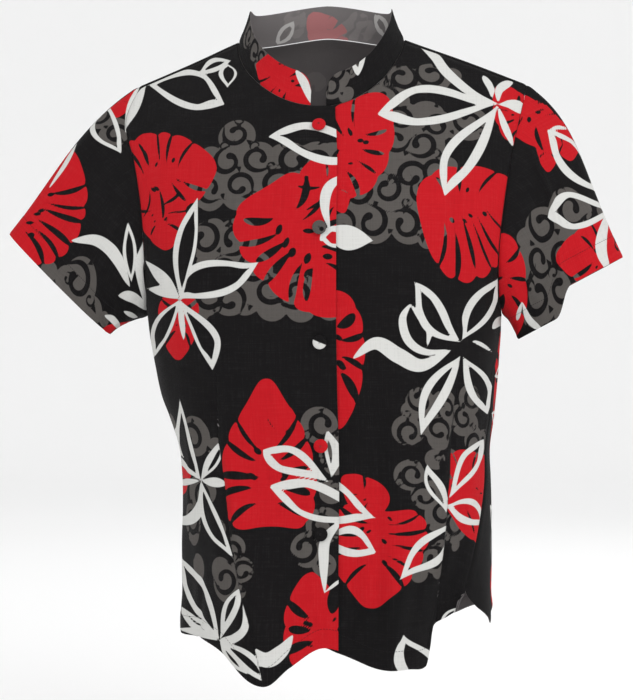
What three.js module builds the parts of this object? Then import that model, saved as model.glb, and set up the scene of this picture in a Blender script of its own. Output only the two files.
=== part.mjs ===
import * as THREE from 'three';

// Short-sleeved blouse with a band collar, filled out as when worn.
// Millimetres, +Z up, the front faces -Y and +X is the wearer's left.
// The origin lies between the neck ends of the two shoulder seams, where the wearer carries it.

const WALL = 1.2; // thickness of every cloth wall
const SEAM = 0.3; // gap between two pieces at a seam
const UNDER_GAP = 0.6; // gap between the upper and the lower front where they cross
const NECK_HALF = 87; // half the width of the neckline
const NECK_DROP = 77; // how far the neckline falls at the centre front
const NECK_SWAY = -5; // the ends of the shoulder seams sit a little towards the wearer's right
const BACK_NECK_DROP = 17; // how far the back neckline lies below the line over the neck
const RIDGE_RISE = 26; // rise of the shoulder line inside the neck
const NECK_RISE = 1.6; // 2 would be a parabola
const NECK_ROUND = 1.25; // 1 would make the front neckline an ellipse
const SHOULDER_RIGHT = 198; // from the centre to each sleeve seam
const SHOULDER_LEFT = 207;
const SHOULDER_FALL = 0.4; // fall of the shoulder line for each millimetre outwards
const SEAM_FORWARD = 2.5; // the shoulder seam lies this far down the front of the shoulder line
const ARMPIT_Z = -285;
const CHEST_RISE = 240; // the front is at its fullest this far below the shoulder line
const CHEST_CURVE = 0.8;
const BLADE_RISE = 180; // the same for the back
const BLADE_CURVE = 0.56;
const LAP = 17; // the upper front runs this far past the button line
const UNDERLAP = 16; // and the lower front this far the other way
const SLIT_TOP = -564;
// How far each edge of a slit has opened at the hem.
const SLIT_FRONT = { right: 10, left: 6 };
const SLIT_BACK = { right: 3, left: 52 };
const COLLAR_HEIGHT = 34;
const COLLAR_CORNER = 18; // radius of the collar's front corners
const COLLAR_END = 8; // from the button line to each end of the collar
const BUTTON_RADIUS = 7;
const BUTTON_HEIGHTS = [-99, -202, -314, -416, -504];

const COLS = 12; // columns from a centre line to a side seam
const NECK_COLS = 6; // of which these end at the neckline
const LAP_COLS = 2;
const LOW_ROWS = 14; // rows from the hem to the armpit
const TAIL_ROWS = 3; // of which these lie below the tops of the slits
const HIGH_ROWS = 14; // rows from the armpit to the shoulder
const SLEEVE_ROWS = 8;
const COLLAR_ROWS = 3;

// Sections of the trunk. half, front and back are measured from the section's own centre, and
// a power of 2 is an ellipse; a larger one is squarer. Above the armpit half runs on into the arm.
const TRUNK = [
  { z: -660, half: 164, shift: 8, front: 112, back: 102, frontPower: 2.7, backPower: 2.4 },
  { z: -600, half: 164, shift: 9, front: 112, back: 102, frontPower: 2.7, backPower: 2.4 },
  { z: -525, half: 163, shift: 9, front: 110, back: 102, frontPower: 2.7, backPower: 2.4 },
  { z: -484, half: 161, shift: 10, front: 108, back: 100, frontPower: 2.7, backPower: 2.4 },
  { z: -452, half: 160, shift: 10, front: 108, back: 98, frontPower: 2.7, backPower: 2.4 },
  { z: -421, half: 161, shift: 8, front: 110, back: 97, frontPower: 2.6, backPower: 2.4 },
  { z: -390, half: 168, shift: 5, front: 114, back: 98, frontPower: 2.5, backPower: 2.4 },
  { z: -369, half: 173, shift: 2, front: 117, back: 100, frontPower: 2.4, backPower: 2.4 },
  { z: -338, half: 178, shift: 0, front: 121, back: 103, frontPower: 2.3, backPower: 2.3 },
  { z: -307, half: 182, shift: -2, front: 124, back: 106, frontPower: 2.3, backPower: 2.3 },
  { z: -285, half: 184, shift: -3, front: 125, back: 107, frontPower: 2.3, backPower: 2.3 },
  { z: -262, half: 188, shift: -2, front: 126, back: 108, frontPower: 2.3, backPower: 2.3 },
  { z: -225, half: 200, shift: -1, front: 126, back: 108, frontPower: 2.3, backPower: 2.3 },
  { z: -176, half: 213, shift: 0, front: 123, back: 108, frontPower: 2.3, backPower: 2.3 },
  { z: -130, half: 224, shift: 0, front: 119, back: 107, frontPower: 2.3, backPower: 2.3 },
  { z: -88, half: 233, shift: 0, front: 113, back: 106, frontPower: 2.3, backPower: 2.3 },
  { z: -47, half: 240, shift: 0, front: 109, back: 105, frontPower: 2.3, backPower: 2.3 },
  { z: 30, half: 250, shift: 0, front: 106, back: 105, frontPower: 2.3, backPower: 2.3 },
];

// Where the centre line runs. It leans a little, as the wearer does.
const CENTRE = [
  { z: -660, x: 3.5 },
  { z: -140, x: 3.5 },
  { z: -70, x: -2 },
  { z: 30, x: -3 },
];

// The sleeve seams, from the armpit (0) to the shoulder (1).
const ARMHOLE_FRONT = [
  { t: 0, right: 184, left: 184, z: -285 },
  { t: 0.08, right: 181.5, left: 180.5, z: -268 },
  { t: 0.25, right: 181, left: 179.5, z: -228 },
  { t: 0.46, right: 186, left: 183.5, z: -178 },
  { t: 0.66, right: 196, left: 190.5, z: -130 },
  { t: 0.84, right: 209, left: 199, z: -87 },
  { t: 1, right: SHOULDER_RIGHT, left: SHOULDER_LEFT, z: -49.7 },
];
const ARMHOLE_BACK = [
  { t: 0, right: 184, left: 184, z: -285 },
  { t: 0.08, right: 184, left: 184, z: -267 },
  { t: 0.25, right: 186, left: 186, z: -226 },
  { t: 0.46, right: 190, left: 190, z: -176 },
  { t: 0.66, right: 197, left: 195, z: -128 },
  { t: 0.84, right: 204, left: 201, z: -84 },
  { t: 1, right: SHOULDER_RIGHT, left: SHOULDER_LEFT, z: -44.7 },
];

// How far each side seam runs in front of the middle of its side.
const SIDE_SEAMS = [
  { z: -600, right: 3, left: 86 },
  { z: -564, right: 3, left: 82 },
  { z: -540, right: 3, left: 71 },
  { z: -500, right: 2, left: 58 },
  { z: -440, right: 2, left: 42 },
  { z: -400, right: 1, left: 38 },
  { z: -350, right: 1, left: 32 },
  { z: -320, right: 0, left: 20 },
  { z: -290, right: 0, left: 4 },
];

// Height of the lower edge, by the distance round from the centre line, + towards +X. The columns
// of a panel keep their share of the way to its side seam, and so do these distances.
const HEM_FRONT = [
  { at: -262, z: -616 },
  { at: -200, z: -614 },
  { at: -150, z: -613 },
  { at: -112, z: -622 },
  { at: -58, z: -652 },
  { at: -33, z: -635 },
  { at: 0, z: -616 },
  { at: 28, z: -621 },
  { at: 56, z: -628 },
  { at: 92, z: -635 },
  { at: 140, z: -636 },
  { at: 174, z: -635 },
  { at: 182, z: -620 },
  { at: 191, z: -598 },
  { at: 214, z: -588 },
  { at: 232, z: -581 },
];
const HEM_BACK = [
  { at: -262, z: -611 },
  { at: -170, z: -617 },
  { at: -90, z: -622 },
  { at: 0, z: -618 },
  { at: 68, z: -618 },
  { at: 110, z: -604 },
  { at: 150, z: -588 },
  { at: 196, z: -588 },
  { at: 215, z: -597 },
  { at: 232, z: -606 },
];

// How far the collar leans in for each millimetre up, from its front ends to the middle of the back.
const COLLAR_LEAN = [
  { place: 0, lean: 0.34 },
  { place: 0.28, lean: 0.36 },
  { place: 0.62, lean: 0.52 },
  { place: 1, lean: 0.14 },
];

// The largest folds. Each starts at top, is at its strongest at foot, and stands out by rise.
// sway is how far it has moved sideways at foot.
const FOLDS_FRONT = [
  { at: -122, sway: 54, top: -330, foot: -625, wide: 30, rise: 22 },
  { at: -178, sway: 10, top: -400, foot: -620, wide: 34, rise: -12 },
  { at: 132, sway: -24, top: -330, foot: -620, wide: 24, rise: 9 },
  { at: 52, sway: -6, top: -340, foot: -560, wide: 20, rise: -6 },
  { at: 192, sway: 0, top: -470, foot: -612, wide: 34, rise: -16 },
];
const FOLDS_BACK = [
  { at: -105, sway: -8, top: -380, foot: -620, wide: 34, rise: 9 },
  { at: -45, sway: 4, top: -420, foot: -620, wide: 28, rise: -7 },
  { at: 60, sway: 12, top: -360, foot: -620, wide: 36, rise: 10 },
  { at: 128, sway: 4, top: -430, foot: -620, wide: 28, rise: -8 },
];

// How far the cloth is drawn in along each side seam. Below the slit the back springs out again.
const TUCKS = {
  right: { top: -440, foot: -560, wide: 36, rise: -3 },
  left: { top: -450, foot: -566, wide: 30, rise: -5 },
};

// Each sleeve: the middle of its cuff, the cuff's long and short half axes, the slope of the long
// one, and the directions in which the cloth leaves the seam and reaches the cuff.
const SLEEVES = {
  sleeve_right: {
    side: -1,
    cuff: { x: 280, y: -14, z: -253 },
    long: 75,
    short: 22,
    slope: 44.6,
    leave: { x: 0.87, y: -0.03, z: -0.5 },
    reach: { x: 0.62, y: 0, z: -0.78 },
    step: 0,
  },
  sleeve_left: {
    side: 1,
    cuff: { x: 251, y: -12, z: -268 },
    long: 66,
    short: 29,
    slope: 28,
    leave: { x: 0.84, y: -0.04, z: -0.55 },
    reach: { x: 0.46, y: 0, z: -0.89 },
    step: 24,
  },
};

const mix = (a, b, t) => a + (b - a) * t;

function ease(from, to, value) {
  const t = Math.min(1, Math.max(0, (value - from) / (to - from)));
  return t * t * (3 - 2 * t);
}

// One column of a table, read on a smooth curve through its rows.
function read(table, key, column, at) {
  const last = table.length - 1;
  if (at <= table[0][key]) {
    return table[0][column];
  }
  if (at >= table[last][key]) {
    return table[last][column];
  }
  let i = 0;
  while (table[i + 1][key] < at) {
    i += 1;
  }
  const slope = (k) => {
    const a = table[Math.max(k - 1, 0)];
    const b = table[Math.min(k + 1, last)];
    return (b[column] - a[column]) / (b[key] - a[key]);
  };
  const span = table[i + 1][key] - table[i][key];
  const t = (at - table[i][key]) / span;
  const start = table[i][column];
  const end = table[i + 1][column];
  const bend = (1 - t) * (slope(i) * span - (end - start)) + t * ((end - start) - slope(i + 1) * span);
  return mix(start, end, t) + t * (1 - t) * bend;
}

const trunk = (column, z) => read(TRUNK, 'z', column, z);

// Height of the line over the shoulders.
function ridge(x) {
  const out = Math.abs(x);
  if (out < NECK_HALF) {
    return RIDGE_RISE * (1 - (out / NECK_HALF) ** NECK_RISE);
  }
  return -SHOULDER_FALL * (out - NECK_HALF);
}

// How much of its full depth the trunk has at a distance below the shoulder line.
function fullness(below, face) {
  const rise = face < 0 ? CHEST_RISE : BLADE_RISE;
  const curve = face < 0 ? CHEST_CURVE : BLADE_CURVE;
  return Math.sin((Math.PI / 2) * Math.min(1, Math.max(0, below) / rise) ** curve);
}

function depth(x, z, face) {
  const power = trunk(face < 0 ? 'frontPower' : 'backPower', z);
  const share = Math.min(1, Math.abs(x) / trunk('half', z));
  const round = (1 - share ** power) ** (1 / power);
  return face * trunk(face < 0 ? 'front' : 'back', z) * round * fullness(ridge(x) - z, face);
}

// A point of the upper trunk. A height above the shoulder line lies over it, on the other face.
function upperPoint(x, height, face) {
  const top = ridge(x);
  const over = height > top;
  const z = over ? 2 * top - height : height;
  return { x, y: depth(x, z, over ? -face : face), z };
}

// A quarter of the section at a height, from the centre line to the side.
function quarter(z, face) {
  const half = trunk('half', z);
  const deep = trunk(face < 0 ? 'front' : 'back', z);
  const power = 2 / trunk(face < 0 ? 'frontPower' : 'backPower', z);
  const points = [{ x: 0, y: face * deep, along: 0 }];
  for (let k = 1; k <= 64; k += 1) {
    const turn = (Math.PI / 2) * (k / 64);
    const x = half * Math.sin(turn) ** power;
    const y = k === 64 ? 0 : face * deep * Math.cos(turn) ** power;
    const before = points[k - 1];
    points.push({ x, y, along: before.along + Math.hypot(x - before.x, y - before.y) });
  }
  return points;
}

function alongQuarter(points, along) {
  const want = Math.abs(along);
  let k = 1;
  while (k < points.length - 1 && points[k].along < want) {
    k += 1;
  }
  const a = points[k - 1];
  const b = points[k];
  const t = (want - a.along) / (b.along - a.along);
  return { x: Math.sign(along) * mix(a.x, b.x, t), y: mix(a.y, b.y, t) };
}

// Rows are closer together at the armpit and at the shoulder.
const stage = (j) => j / HIGH_ROWS - (0.55 * Math.sin((2 * Math.PI * j) / HIGH_ROWS)) / (2 * Math.PI);

// Where a column ends at the top: on the neckline, or on the shoulder seam.
function topEnd(i, face, side) {
  const seam = face < 0 ? -SEAM_FORWARD - SEAM / 2 : SEAM_FORWARD - SEAM / 2;
  if (i <= NECK_COLS) {
    const turn = (Math.PI / 2) * (i / NECK_COLS);
    const x = NECK_HALF * Math.sin(turn);
    if (face < 0) {
      return { x, height: mix(seam, -NECK_DROP, Math.cos(turn) ** NECK_ROUND) };
    }
    return { x, height: ridge(x) + mix(seam, -BACK_NECK_DROP, Math.cos(turn)) };
  }
  const end = side < 0 ? SHOULDER_RIGHT : SHOULDER_LEFT;
  const x = mix(NECK_HALF, end, (i - NECK_COLS) / (COLS - NECK_COLS));
  return { x, height: ridge(x) + seam };
}

// A point at a distance round the section, past the side and onto the other face if need be.
function aroundSection(z, face, along) {
  const own = quarter(z, face);
  const length = own[64].along;
  if (Math.abs(along) <= length) {
    return alongQuarter(own, along);
  }
  const other = quarter(z, -face);
  return alongQuarter(other, Math.sign(along) * (other[64].along - (Math.abs(along) - length)));
}

// How far round a panel reaches at a height, from its centre line to its side seam.
function seamDistance(z, side, face) {
  const which = side < 0 ? 'right' : 'left';
  const opened = ease(SLIT_TOP, -600, z) * (face < 0 ? SLIT_FRONT : SLIT_BACK)[which];
  const forward = read(SIDE_SEAMS, 'z', which, z);
  return quarter(z, face)[64].along + face * forward - SEAM / 2 - opened;
}

// A point of a front or of the back, before its folds. along is a fixed distance for a lap.
function panelPoint(side, face, i, j, lap) {
  const out = Math.abs(i);
  const sign = i < 0 ? -1 : 1;
  const lapped = lap > 0 && i < 0;
  const hems = face < 0 ? HEM_FRONT : HEM_BACK;
  let x;
  let y;
  let z;
  if (j <= LOW_ROWS) {
    const reachAt = quarter(-600, face)[64].along * (out / COLS);
    const round = lapped ? lap * (out / LAP_COLS) : reachAt;
    const hem = read(hems, 'at', 'z', side * sign * round);
    z = j <= TAIL_ROWS
      ? mix(hem, SLIT_TOP, j / TAIL_ROWS)
      : mix(SLIT_TOP, ARMPIT_Z, (j - TAIL_ROWS) / (LOW_ROWS - TAIL_ROWS));
    const end = seamDistance(z, side * sign, face);
    const spot = aroundSection(z, face, sign * (lapped ? round : end * (out / COLS)));
    x = spot.x;
    y = spot.y;
  } else {
    const t = stage(j - LOW_ROWS);
    const points = quarter(ARMPIT_Z, face);
    const end = points[64].along - SEAM / 2;
    const foot = lapped ? lap * (out / LAP_COLS) : alongQuarter(points, end * (out / COLS)).x;
    const top = lapped ? { x: foot, height: -NECK_DROP } : topEnd(out, face, side * sign);
    const arm = side * sign < 0 ? 'right' : 'left';
    const seam = face < 0 ? ARMHOLE_FRONT : ARMHOLE_BACK;
    const last = seam.length - 1;
    const pull = lapped ? 0 : foot / alongQuarter(points, end).x;
    const awayX = read(seam, 't', arm, t) - mix(seam[0][arm], seam[last][arm], t);
    const awayZ = read(seam, 't', 'z', t) - mix(ARMPIT_Z, seam[last].z, t);
    const outX = mix(foot, top.x, t) + pull * awayX;
    const spot = upperPoint(outX, mix(ARMPIT_Z, top.height, t) + pull * awayZ, face);
    x = sign * outX;
    y = out === COLS && j === LOW_ROWS ? 0 : spot.y;
    z = spot.z;
  }
  const shift = trunk('shift', z);
  const centred = (read(CENTRE, 'z', 'x', z) - shift) * Math.max(0, 1 - Math.abs(x) / 120);
  const near = Math.exp(-(((Math.abs(x) - NECK_HALF) / 45) ** 2));
  const sway = centred + NECK_SWAY * near * ease(-90, -20, z);
  return new THREE.Vector3(side * x + shift + sway, y, z);
}

// Outward direction at each point of a grid.
function facing(grid, loop, flip) {
  const rows = grid.length;
  const cols = grid[0].length;
  return grid.map((row, j) => row.map((point, i) => {
    const left = loop ? row[(i + cols - 1) % cols] : row[Math.max(i - 1, 0)];
    const right = loop ? row[(i + 1) % cols] : row[Math.min(i + 1, cols - 1)];
    const below = grid[Math.max(j - 1, 0)][i];
    const above = grid[Math.min(j + 1, rows - 1)][i];
    const across = right.clone().sub(left);
    const up = above.clone().sub(below);
    return across.cross(up).normalize().multiplyScalar(flip ? -1 : 1);
  }));
}

function offset(grid, normals, amount) {
  return grid.map((row, j) => row.map((point, i) => {
    const by = typeof amount === 'function' ? amount(j, i) : amount;
    return point.clone().addScaledVector(normals[j][i], by);
  }));
}

// A wall between an outer and an inner grid of points, closed round its edges.
function wall(name, outer, inner, colour, loop, flip) {
  const rows = outer.length;
  const cols = outer[0].length;
  const positions = [];
  for (const grid of [outer, inner]) {
    for (const row of grid) {
      for (const p of row) {
        positions.push(p.x, p.y, p.z);
      }
    }
  }
  const faces = [];
  const quad = (a, b, c, d) => {
    if (flip) {
      faces.push(a, c, b, a, d, c);
    } else {
      faces.push(a, b, c, a, c, d);
    }
  };
  const out = (j, i) => j * cols + (i % cols);
  const inn = (j, i) => rows * cols + j * cols + (i % cols);
  const lastCol = loop ? cols : cols - 1;
  for (let j = 0; j < rows - 1; j += 1) {
    for (let i = 0; i < lastCol; i += 1) {
      quad(out(j, i), out(j, i + 1), out(j + 1, i + 1), out(j + 1, i));
      quad(inn(j, i), inn(j + 1, i), inn(j + 1, i + 1), inn(j, i + 1));
    }
  }
  for (let i = 0; i < lastCol; i += 1) {
    quad(out(0, i), inn(0, i), inn(0, i + 1), out(0, i + 1));
    quad(out(rows - 1, i), out(rows - 1, i + 1), inn(rows - 1, i + 1), inn(rows - 1, i));
  }
  if (!loop) {
    for (let j = 0; j < rows - 1; j += 1) {
      quad(out(j, 0), out(j + 1, 0), inn(j + 1, 0), inn(j, 0));
      quad(out(j, cols - 1), inn(j, cols - 1), inn(j + 1, cols - 1), out(j + 1, cols - 1));
    }
  }
  return solid(name, positions, faces, colour);
}

function solid(name, positions, faces, colour) {
  const geometry = new THREE.BufferGeometry();
  geometry.setAttribute('position', new THREE.Float32BufferAttribute(positions, 3));
  geometry.setIndex(faces);
  geometry.computeVertexNormals();
  const material = new THREE.MeshStandardMaterial({ color: colour, roughness: 0.85, metalness: 0 });
  const mesh = new THREE.Mesh(geometry, material);
  mesh.name = name;
  return mesh;
}

// How far the folds move a point of a panel in or out.
function foldRise(folds, round, z) {
  let rise = 0;
  for (const fold of folds) {
    const grown = ease(fold.top, fold.foot, z);
    const away = (round - fold.at - fold.sway * grown) / fold.wide;
    rise += fold.rise * grown * Math.exp(-away * away);
  }
  return rise;
}

// How far a side seam draws in a point that lies at a distance away from it.
function tuckRise(side, face, away, z) {
  const plan = TUCKS[side < 0 ? 'right' : 'left'];
  const freed = face > 0 ? ease(SLIT_TOP, -606, z) : 0;
  return plan.rise * ease(plan.top, plan.foot, z) * (1 - freed) * Math.exp(-((away / plan.wide) ** 2));
}

// A panel's outer grid before its folds, and its outward directions.
function panel(side, face, from, lap) {
  const grid = [];
  for (let j = 0; j <= LOW_ROWS + HIGH_ROWS; j += 1) {
    const row = [];
    for (let i = from; i <= COLS; i += 1) {
      row.push(panelPoint(side, face, i, j, lap));
    }
    grid.push(row);
  }
  const flip = side * face > 0;
  return { side, face, from, lap, flip, grid, normals: facing(grid, false, flip) };
}

// Folds a panel. The lower front is also sunk under the upper one.
function fold(made, sunk) {
  const { side, face, from, lap, flip } = made;
  const folds = face < 0 ? FOLDS_FRONT : FOLDS_BACK;
  const length = quarter(-500, face)[64].along;
  made.grid = offset(made.grid, made.normals, (j, k) => {
    const i = k + from;
    const lapped = lap > 0 && i < 0;
    const round = lapped ? (lap * i) / LAP_COLS : (length * i) / COLS;
    const sink = sunk ? -(WALL + UNDER_GAP) * (1 - ease(18, 44, round)) : 0;
    const z = made.grid[j][k].z;
    const away = length - Math.abs(round);
    return foldRise(folds, side * round, z) + tuckRise(side * Math.sign(round), face, away, z) + sink;
  });
  made.normals = facing(made.grid, false, flip);
}

function panelWall(name, made, colour) {
  return wall(name, made.grid, offset(made.grid, made.normals, -WALL), colour, false, made.flip);
}

// Inner point of a wall that starts at an angle to the panel it is sewn to.
function mitre(panelNormal, ownNormal) {
  const sum = panelNormal.clone().add(ownNormal);
  return sum.multiplyScalar(-WALL / Math.max(0.6, 1 + panelNormal.dot(ownNormal)));
}

// The sleeve seam as one loop: down the front from the shoulder, and up the back.
function armhole(front, back, side) {
  const edge = (made, j) => {
    const last = side < 0 && made.face > 0 ? 0 : made.grid[0].length - 1;
    return { point: made.grid[j][last], normal: made.normals[j][last] };
  };
  const loop = [];
  for (let k = HIGH_ROWS; k >= 0; k -= 1) {
    loop.push(edge(front, LOW_ROWS + k));
  }
  for (let k = 0; k <= HIGH_ROWS; k += 1) {
    loop.push(edge(back, LOW_ROWS + k));
  }
  const join = (a, b) => ({
    point: a.point.clone().add(b.point).multiplyScalar(0.5),
    normal: a.normal.clone().add(b.normal).normalize(),
  });
  const last = loop.length - 1;
  const under = join(loop[HIGH_ROWS], loop[HIGH_ROWS + 1]);
  const top = join(loop[0], loop[last]);
  return [top, ...loop.slice(1, HIGH_ROWS), under, ...loop.slice(HIGH_ROWS + 2, last)];
}

function sleeve(name, seam, colour) {
  const plan = SLEEVES[name];
  const side = plan.side;
  const count = seam.length;
  const slope = (plan.slope * Math.PI) / 180;
  const long = new THREE.Vector3(side * Math.cos(slope), 0, Math.sin(slope));
  const leave = new THREE.Vector3(side * plan.leave.x, plan.leave.y, plan.leave.z).normalize();
  const reach = new THREE.Vector3(side * plan.reach.x, plan.reach.y, plan.reach.z).normalize();
  const starts = seam.map((spot, k) => {
    const before = seam[(k + count - 1) % count].point;
    const after = seam[(k + 1) % count].point;
    const away = after.clone().sub(before).cross(spot.normal).normalize().multiplyScalar(-side);
    return spot.point.clone().addScaledVector(away, SEAM);
  });
  const ends = seam.map((spot, k) => {
    const turn = (2 * Math.PI * k) / count;
    const degrees = (turn * 180) / Math.PI;
    const drop = plan.step * (ease(84, 112, degrees) * (1 - ease(195, 240, degrees)) - 0.45);
    return new THREE.Vector3(side * plan.cuff.x, plan.cuff.y, plan.cuff.z)
      .addScaledVector(long, plan.long * Math.cos(turn))
      .add(new THREE.Vector3(0, -plan.short * Math.sin(turn), 0))
      .addScaledVector(reach, drop);
  });
  const grid = [];
  for (let j = 0; j <= SLEEVE_ROWS; j += 1) {
    const t = j / SLEEVE_ROWS;
    const a = 2 * t ** 3 - 3 * t ** 2 + 1;
    const b = t ** 3 - 2 * t ** 2 + t;
    const c = -2 * t ** 3 + 3 * t ** 2;
    const d = t ** 3 - t ** 2;
    grid.push(starts.map((start, k) => {
      const length = start.distanceTo(ends[k]);
      return start.clone().multiplyScalar(a)
        .addScaledVector(leave, b * length)
        .addScaledVector(ends[k], c)
        .addScaledVector(reach, d * length);
    }));
  }
  const flip = side < 0;
  const normals = facing(grid, true, flip);
  const inner = offset(grid, normals, -WALL);
  inner[0] = grid[0].map((point, k) => point.clone().add(mitre(seam[k].normal, normals[0][k])));
  return wall(name, grid, inner, colour, true, flip);
}

// Points along the neck seam, from the wearer's right end, round the back, to the left end.
function neckLine(right, left, back) {
  const top = LOW_ROWS + HIGH_ROWS;
  const line = [];
  const take = (made, k) => line.push({ point: made.grid[top][k], normal: made.normals[top][k] });
  for (let i = 0; i <= NECK_COLS; i += 1) {
    take(right, LAP_COLS + i);
  }
  for (let i = -NECK_COLS; i <= NECK_COLS; i += 1) {
    take(back, COLS + i);
  }
  for (let i = NECK_COLS; i >= 0; i -= 1) {
    take(left, LAP_COLS + i);
  }
  return line;
}

function collar(line, colour) {
  const stations = [COLLAR_END, 9.5, 12, 16, 21];
  const spots = [];
  const between = (a, b, t) => ({
    point: a.point.clone().lerp(b.point, t),
    normal: a.normal.clone().lerp(b.normal, t).normalize(),
  });
  const last = line.length - 1;
  const first = line[0].point.distanceTo(line[1].point);
  const final = line[last].point.distanceTo(line[last - 1].point);
  for (const at of stations) {
    if (at < first - 0.5) {
      spots.push({ ...between(line[0], line[1], at / first), end: at - COLLAR_END });
    }
  }
  let run = first - COLLAR_END;
  const marks = [];
  for (let k = 1; k < last; k += 1) {
    if (k > 1) {
      run += line[k].point.distanceTo(line[k - 1].point);
    }
    marks.push({ spot: line[k], run });
  }
  const total = run + final - COLLAR_END;
  let previous = -10;
  for (const mark of marks) {
    if (mark.run - previous > 2) {
      spots.push({ ...mark.spot, end: Math.min(mark.run, total - mark.run) });
      previous = mark.run;
    }
  }
  for (const at of [...stations].reverse()) {
    if (at < final - 0.5) {
      spots.push({ ...between(line[last], line[last - 1], at / final), end: at - COLLAR_END });
    }
  }
  const base = spots.map((spot, k) => {
    const before = spots[Math.max(k - 1, 0)].point;
    const after = spots[Math.min(k + 1, spots.length - 1)].point;
    const run = after.clone().sub(before);
    const away = run.clone().cross(spot.normal).normalize();
    const inward = new THREE.Vector3(-run.y, run.x, 0).normalize().negate();
    return { away, inward, point: spot.point.clone().addScaledVector(away, SEAM) };
  });
  const middle = (spots.length - 1) / 2;
  const grid = [];
  for (let j = 0; j <= COLLAR_ROWS; j += 1) {
    const t = j / COLLAR_ROWS;
    grid.push(base.map((foot, k) => {
      const end = Math.max(0, COLLAR_CORNER - spots[k].end);
      const height = COLLAR_HEIGHT - COLLAR_CORNER + Math.sqrt(COLLAR_CORNER ** 2 - end ** 2);
      const place = 1 - Math.abs(k - middle) / middle;
      const lean = read(COLLAR_LEAN, 'place', 'lean', place) * (1 - 0.25 * t);
      const up = new THREE.Vector3(0, 0, 1).addScaledVector(foot.inward, lean).normalize();
      return foot.point.clone().addScaledVector(up, height * t);
    }));
  }
  const normals = facing(grid, false, true);
  const inner = offset(grid, normals, -WALL);
  inner[0] = grid[0].map((point, k) => point.clone().add(mitre(spots[k].normal, normals[0][k])));
  return wall('collar', grid, inner, colour, false, true);
}

// A covered button: short shank, flat back, rounded edge and domed face.
const BUTTON_PROFILE = [
  { radius: 2, height: 0 },
  { radius: 2, height: 0.9 },
  { radius: 5.6, height: 1.1 },
  { radius: BUTTON_RADIUS, height: 2.2 },
  { radius: 6.3, height: 3.4 },
  { radius: 4, height: 4.4 },
  { radius: 1.6, height: 4.7 },
];

function button(name, foot, normal, colour) {
  const turns = 14;
  const across = new THREE.Vector3(1, 0, 0).cross(normal).normalize();
  const along = normal.clone().cross(across).normalize();
  const positions = [];
  const place = (radius, height, turn) => {
    const p = foot.clone()
      .addScaledVector(normal, height)
      .addScaledVector(along, radius * Math.cos(turn))
      .addScaledVector(across, radius * Math.sin(turn));
    positions.push(p.x, p.y, p.z);
  };
  for (const ring of BUTTON_PROFILE) {
    for (let k = 0; k < turns; k += 1) {
      place(ring.radius, ring.height, (2 * Math.PI * k) / turns);
    }
  }
  place(0, 0, 0);
  place(0, 4.5, 0);
  const faces = [];
  const rings = BUTTON_PROFILE.length;
  for (let k = 0; k < turns; k += 1) {
    const next = (k + 1) % turns;
    for (let j = 0; j < rings - 1; j += 1) {
      const a = j * turns + k;
      const b = j * turns + next;
      faces.push(a, b + turns, b, a, a + turns, b + turns);
    }
    faces.push(rings * turns, k, next);
    faces.push(rings * turns + 1, (rings - 1) * turns + next, (rings - 1) * turns + k);
  }
  return solid(name, positions, faces, colour);
}

const frontRight = panel(-1, -1, -LAP_COLS, LAP);
const frontLeft = panel(1, -1, -LAP_COLS, UNDERLAP);
const back = panel(1, 1, -COLS, 0);

// Two panels turn their edges the same way where they are sewn together.
function share(a, b) {
  const sum = a.clone().add(b).normalize();
  a.copy(sum);
  b.copy(sum);
}

function shareSeams() {
  for (const [front, step] of [[frontRight, -1], [frontLeft, 1]]) {
    for (let j = 0; j <= LOW_ROWS; j += 1) {
      share(front.normals[j][LAP_COLS + COLS], back.normals[j][COLS + step * COLS]);
    }
    const top = LOW_ROWS + HIGH_ROWS;
    for (let i = NECK_COLS; i <= COLS; i += 1) {
      share(front.normals[top][LAP_COLS + i], back.normals[top][COLS + step * i]);
    }
  }
}

shareSeams();
fold(frontRight, false);
fold(frontLeft, true);
fold(back, false);
shareSeams();

const group = new THREE.Group();
group.name = 'mandarin_collar_blouse';
group.add(panelWall('front_right', frontRight, 0x5a2a30));
group.add(panelWall('front_left', frontLeft, 0x6a3238));
group.add(panelWall('back', back, 0x45282c));
group.add(sleeve('sleeve_right', armhole(frontRight, back, -1), 0x704046));
group.add(sleeve('sleeve_left', armhole(frontLeft, back, 1), 0x704046));
group.add(collar(neckLine(frontRight, frontLeft, back), 0x803038));

// The buttons stand on the upper front, on the line where the two fronts cross.
BUTTON_HEIGHTS.forEach((height, k) => {
  const column = frontRight.grid.map((row) => row[LAP_COLS]);
  let j = 1;
  while (column[j].z < height) {
    j += 1;
  }
  const t = (height - column[j - 1].z) / (column[j].z - column[j - 1].z);
  const spot = column[j - 1].clone().lerp(column[j], t);
  const slant = column[j].clone().sub(column[j - 1]).normalize();
  const normal = new THREE.Vector3(1, 0, 0).cross(slant).normalize();
  group.add(button(`button_${k + 1}`, spot.addScaledVector(normal, SEAM), normal, 0x303030));
});

export default group;
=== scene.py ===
import functools
import math

import bpy
import numpy as np
from bpy.props import FloatProperty, FloatVectorProperty, PointerProperty
from mathutils import Matrix, Vector, kdtree


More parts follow.
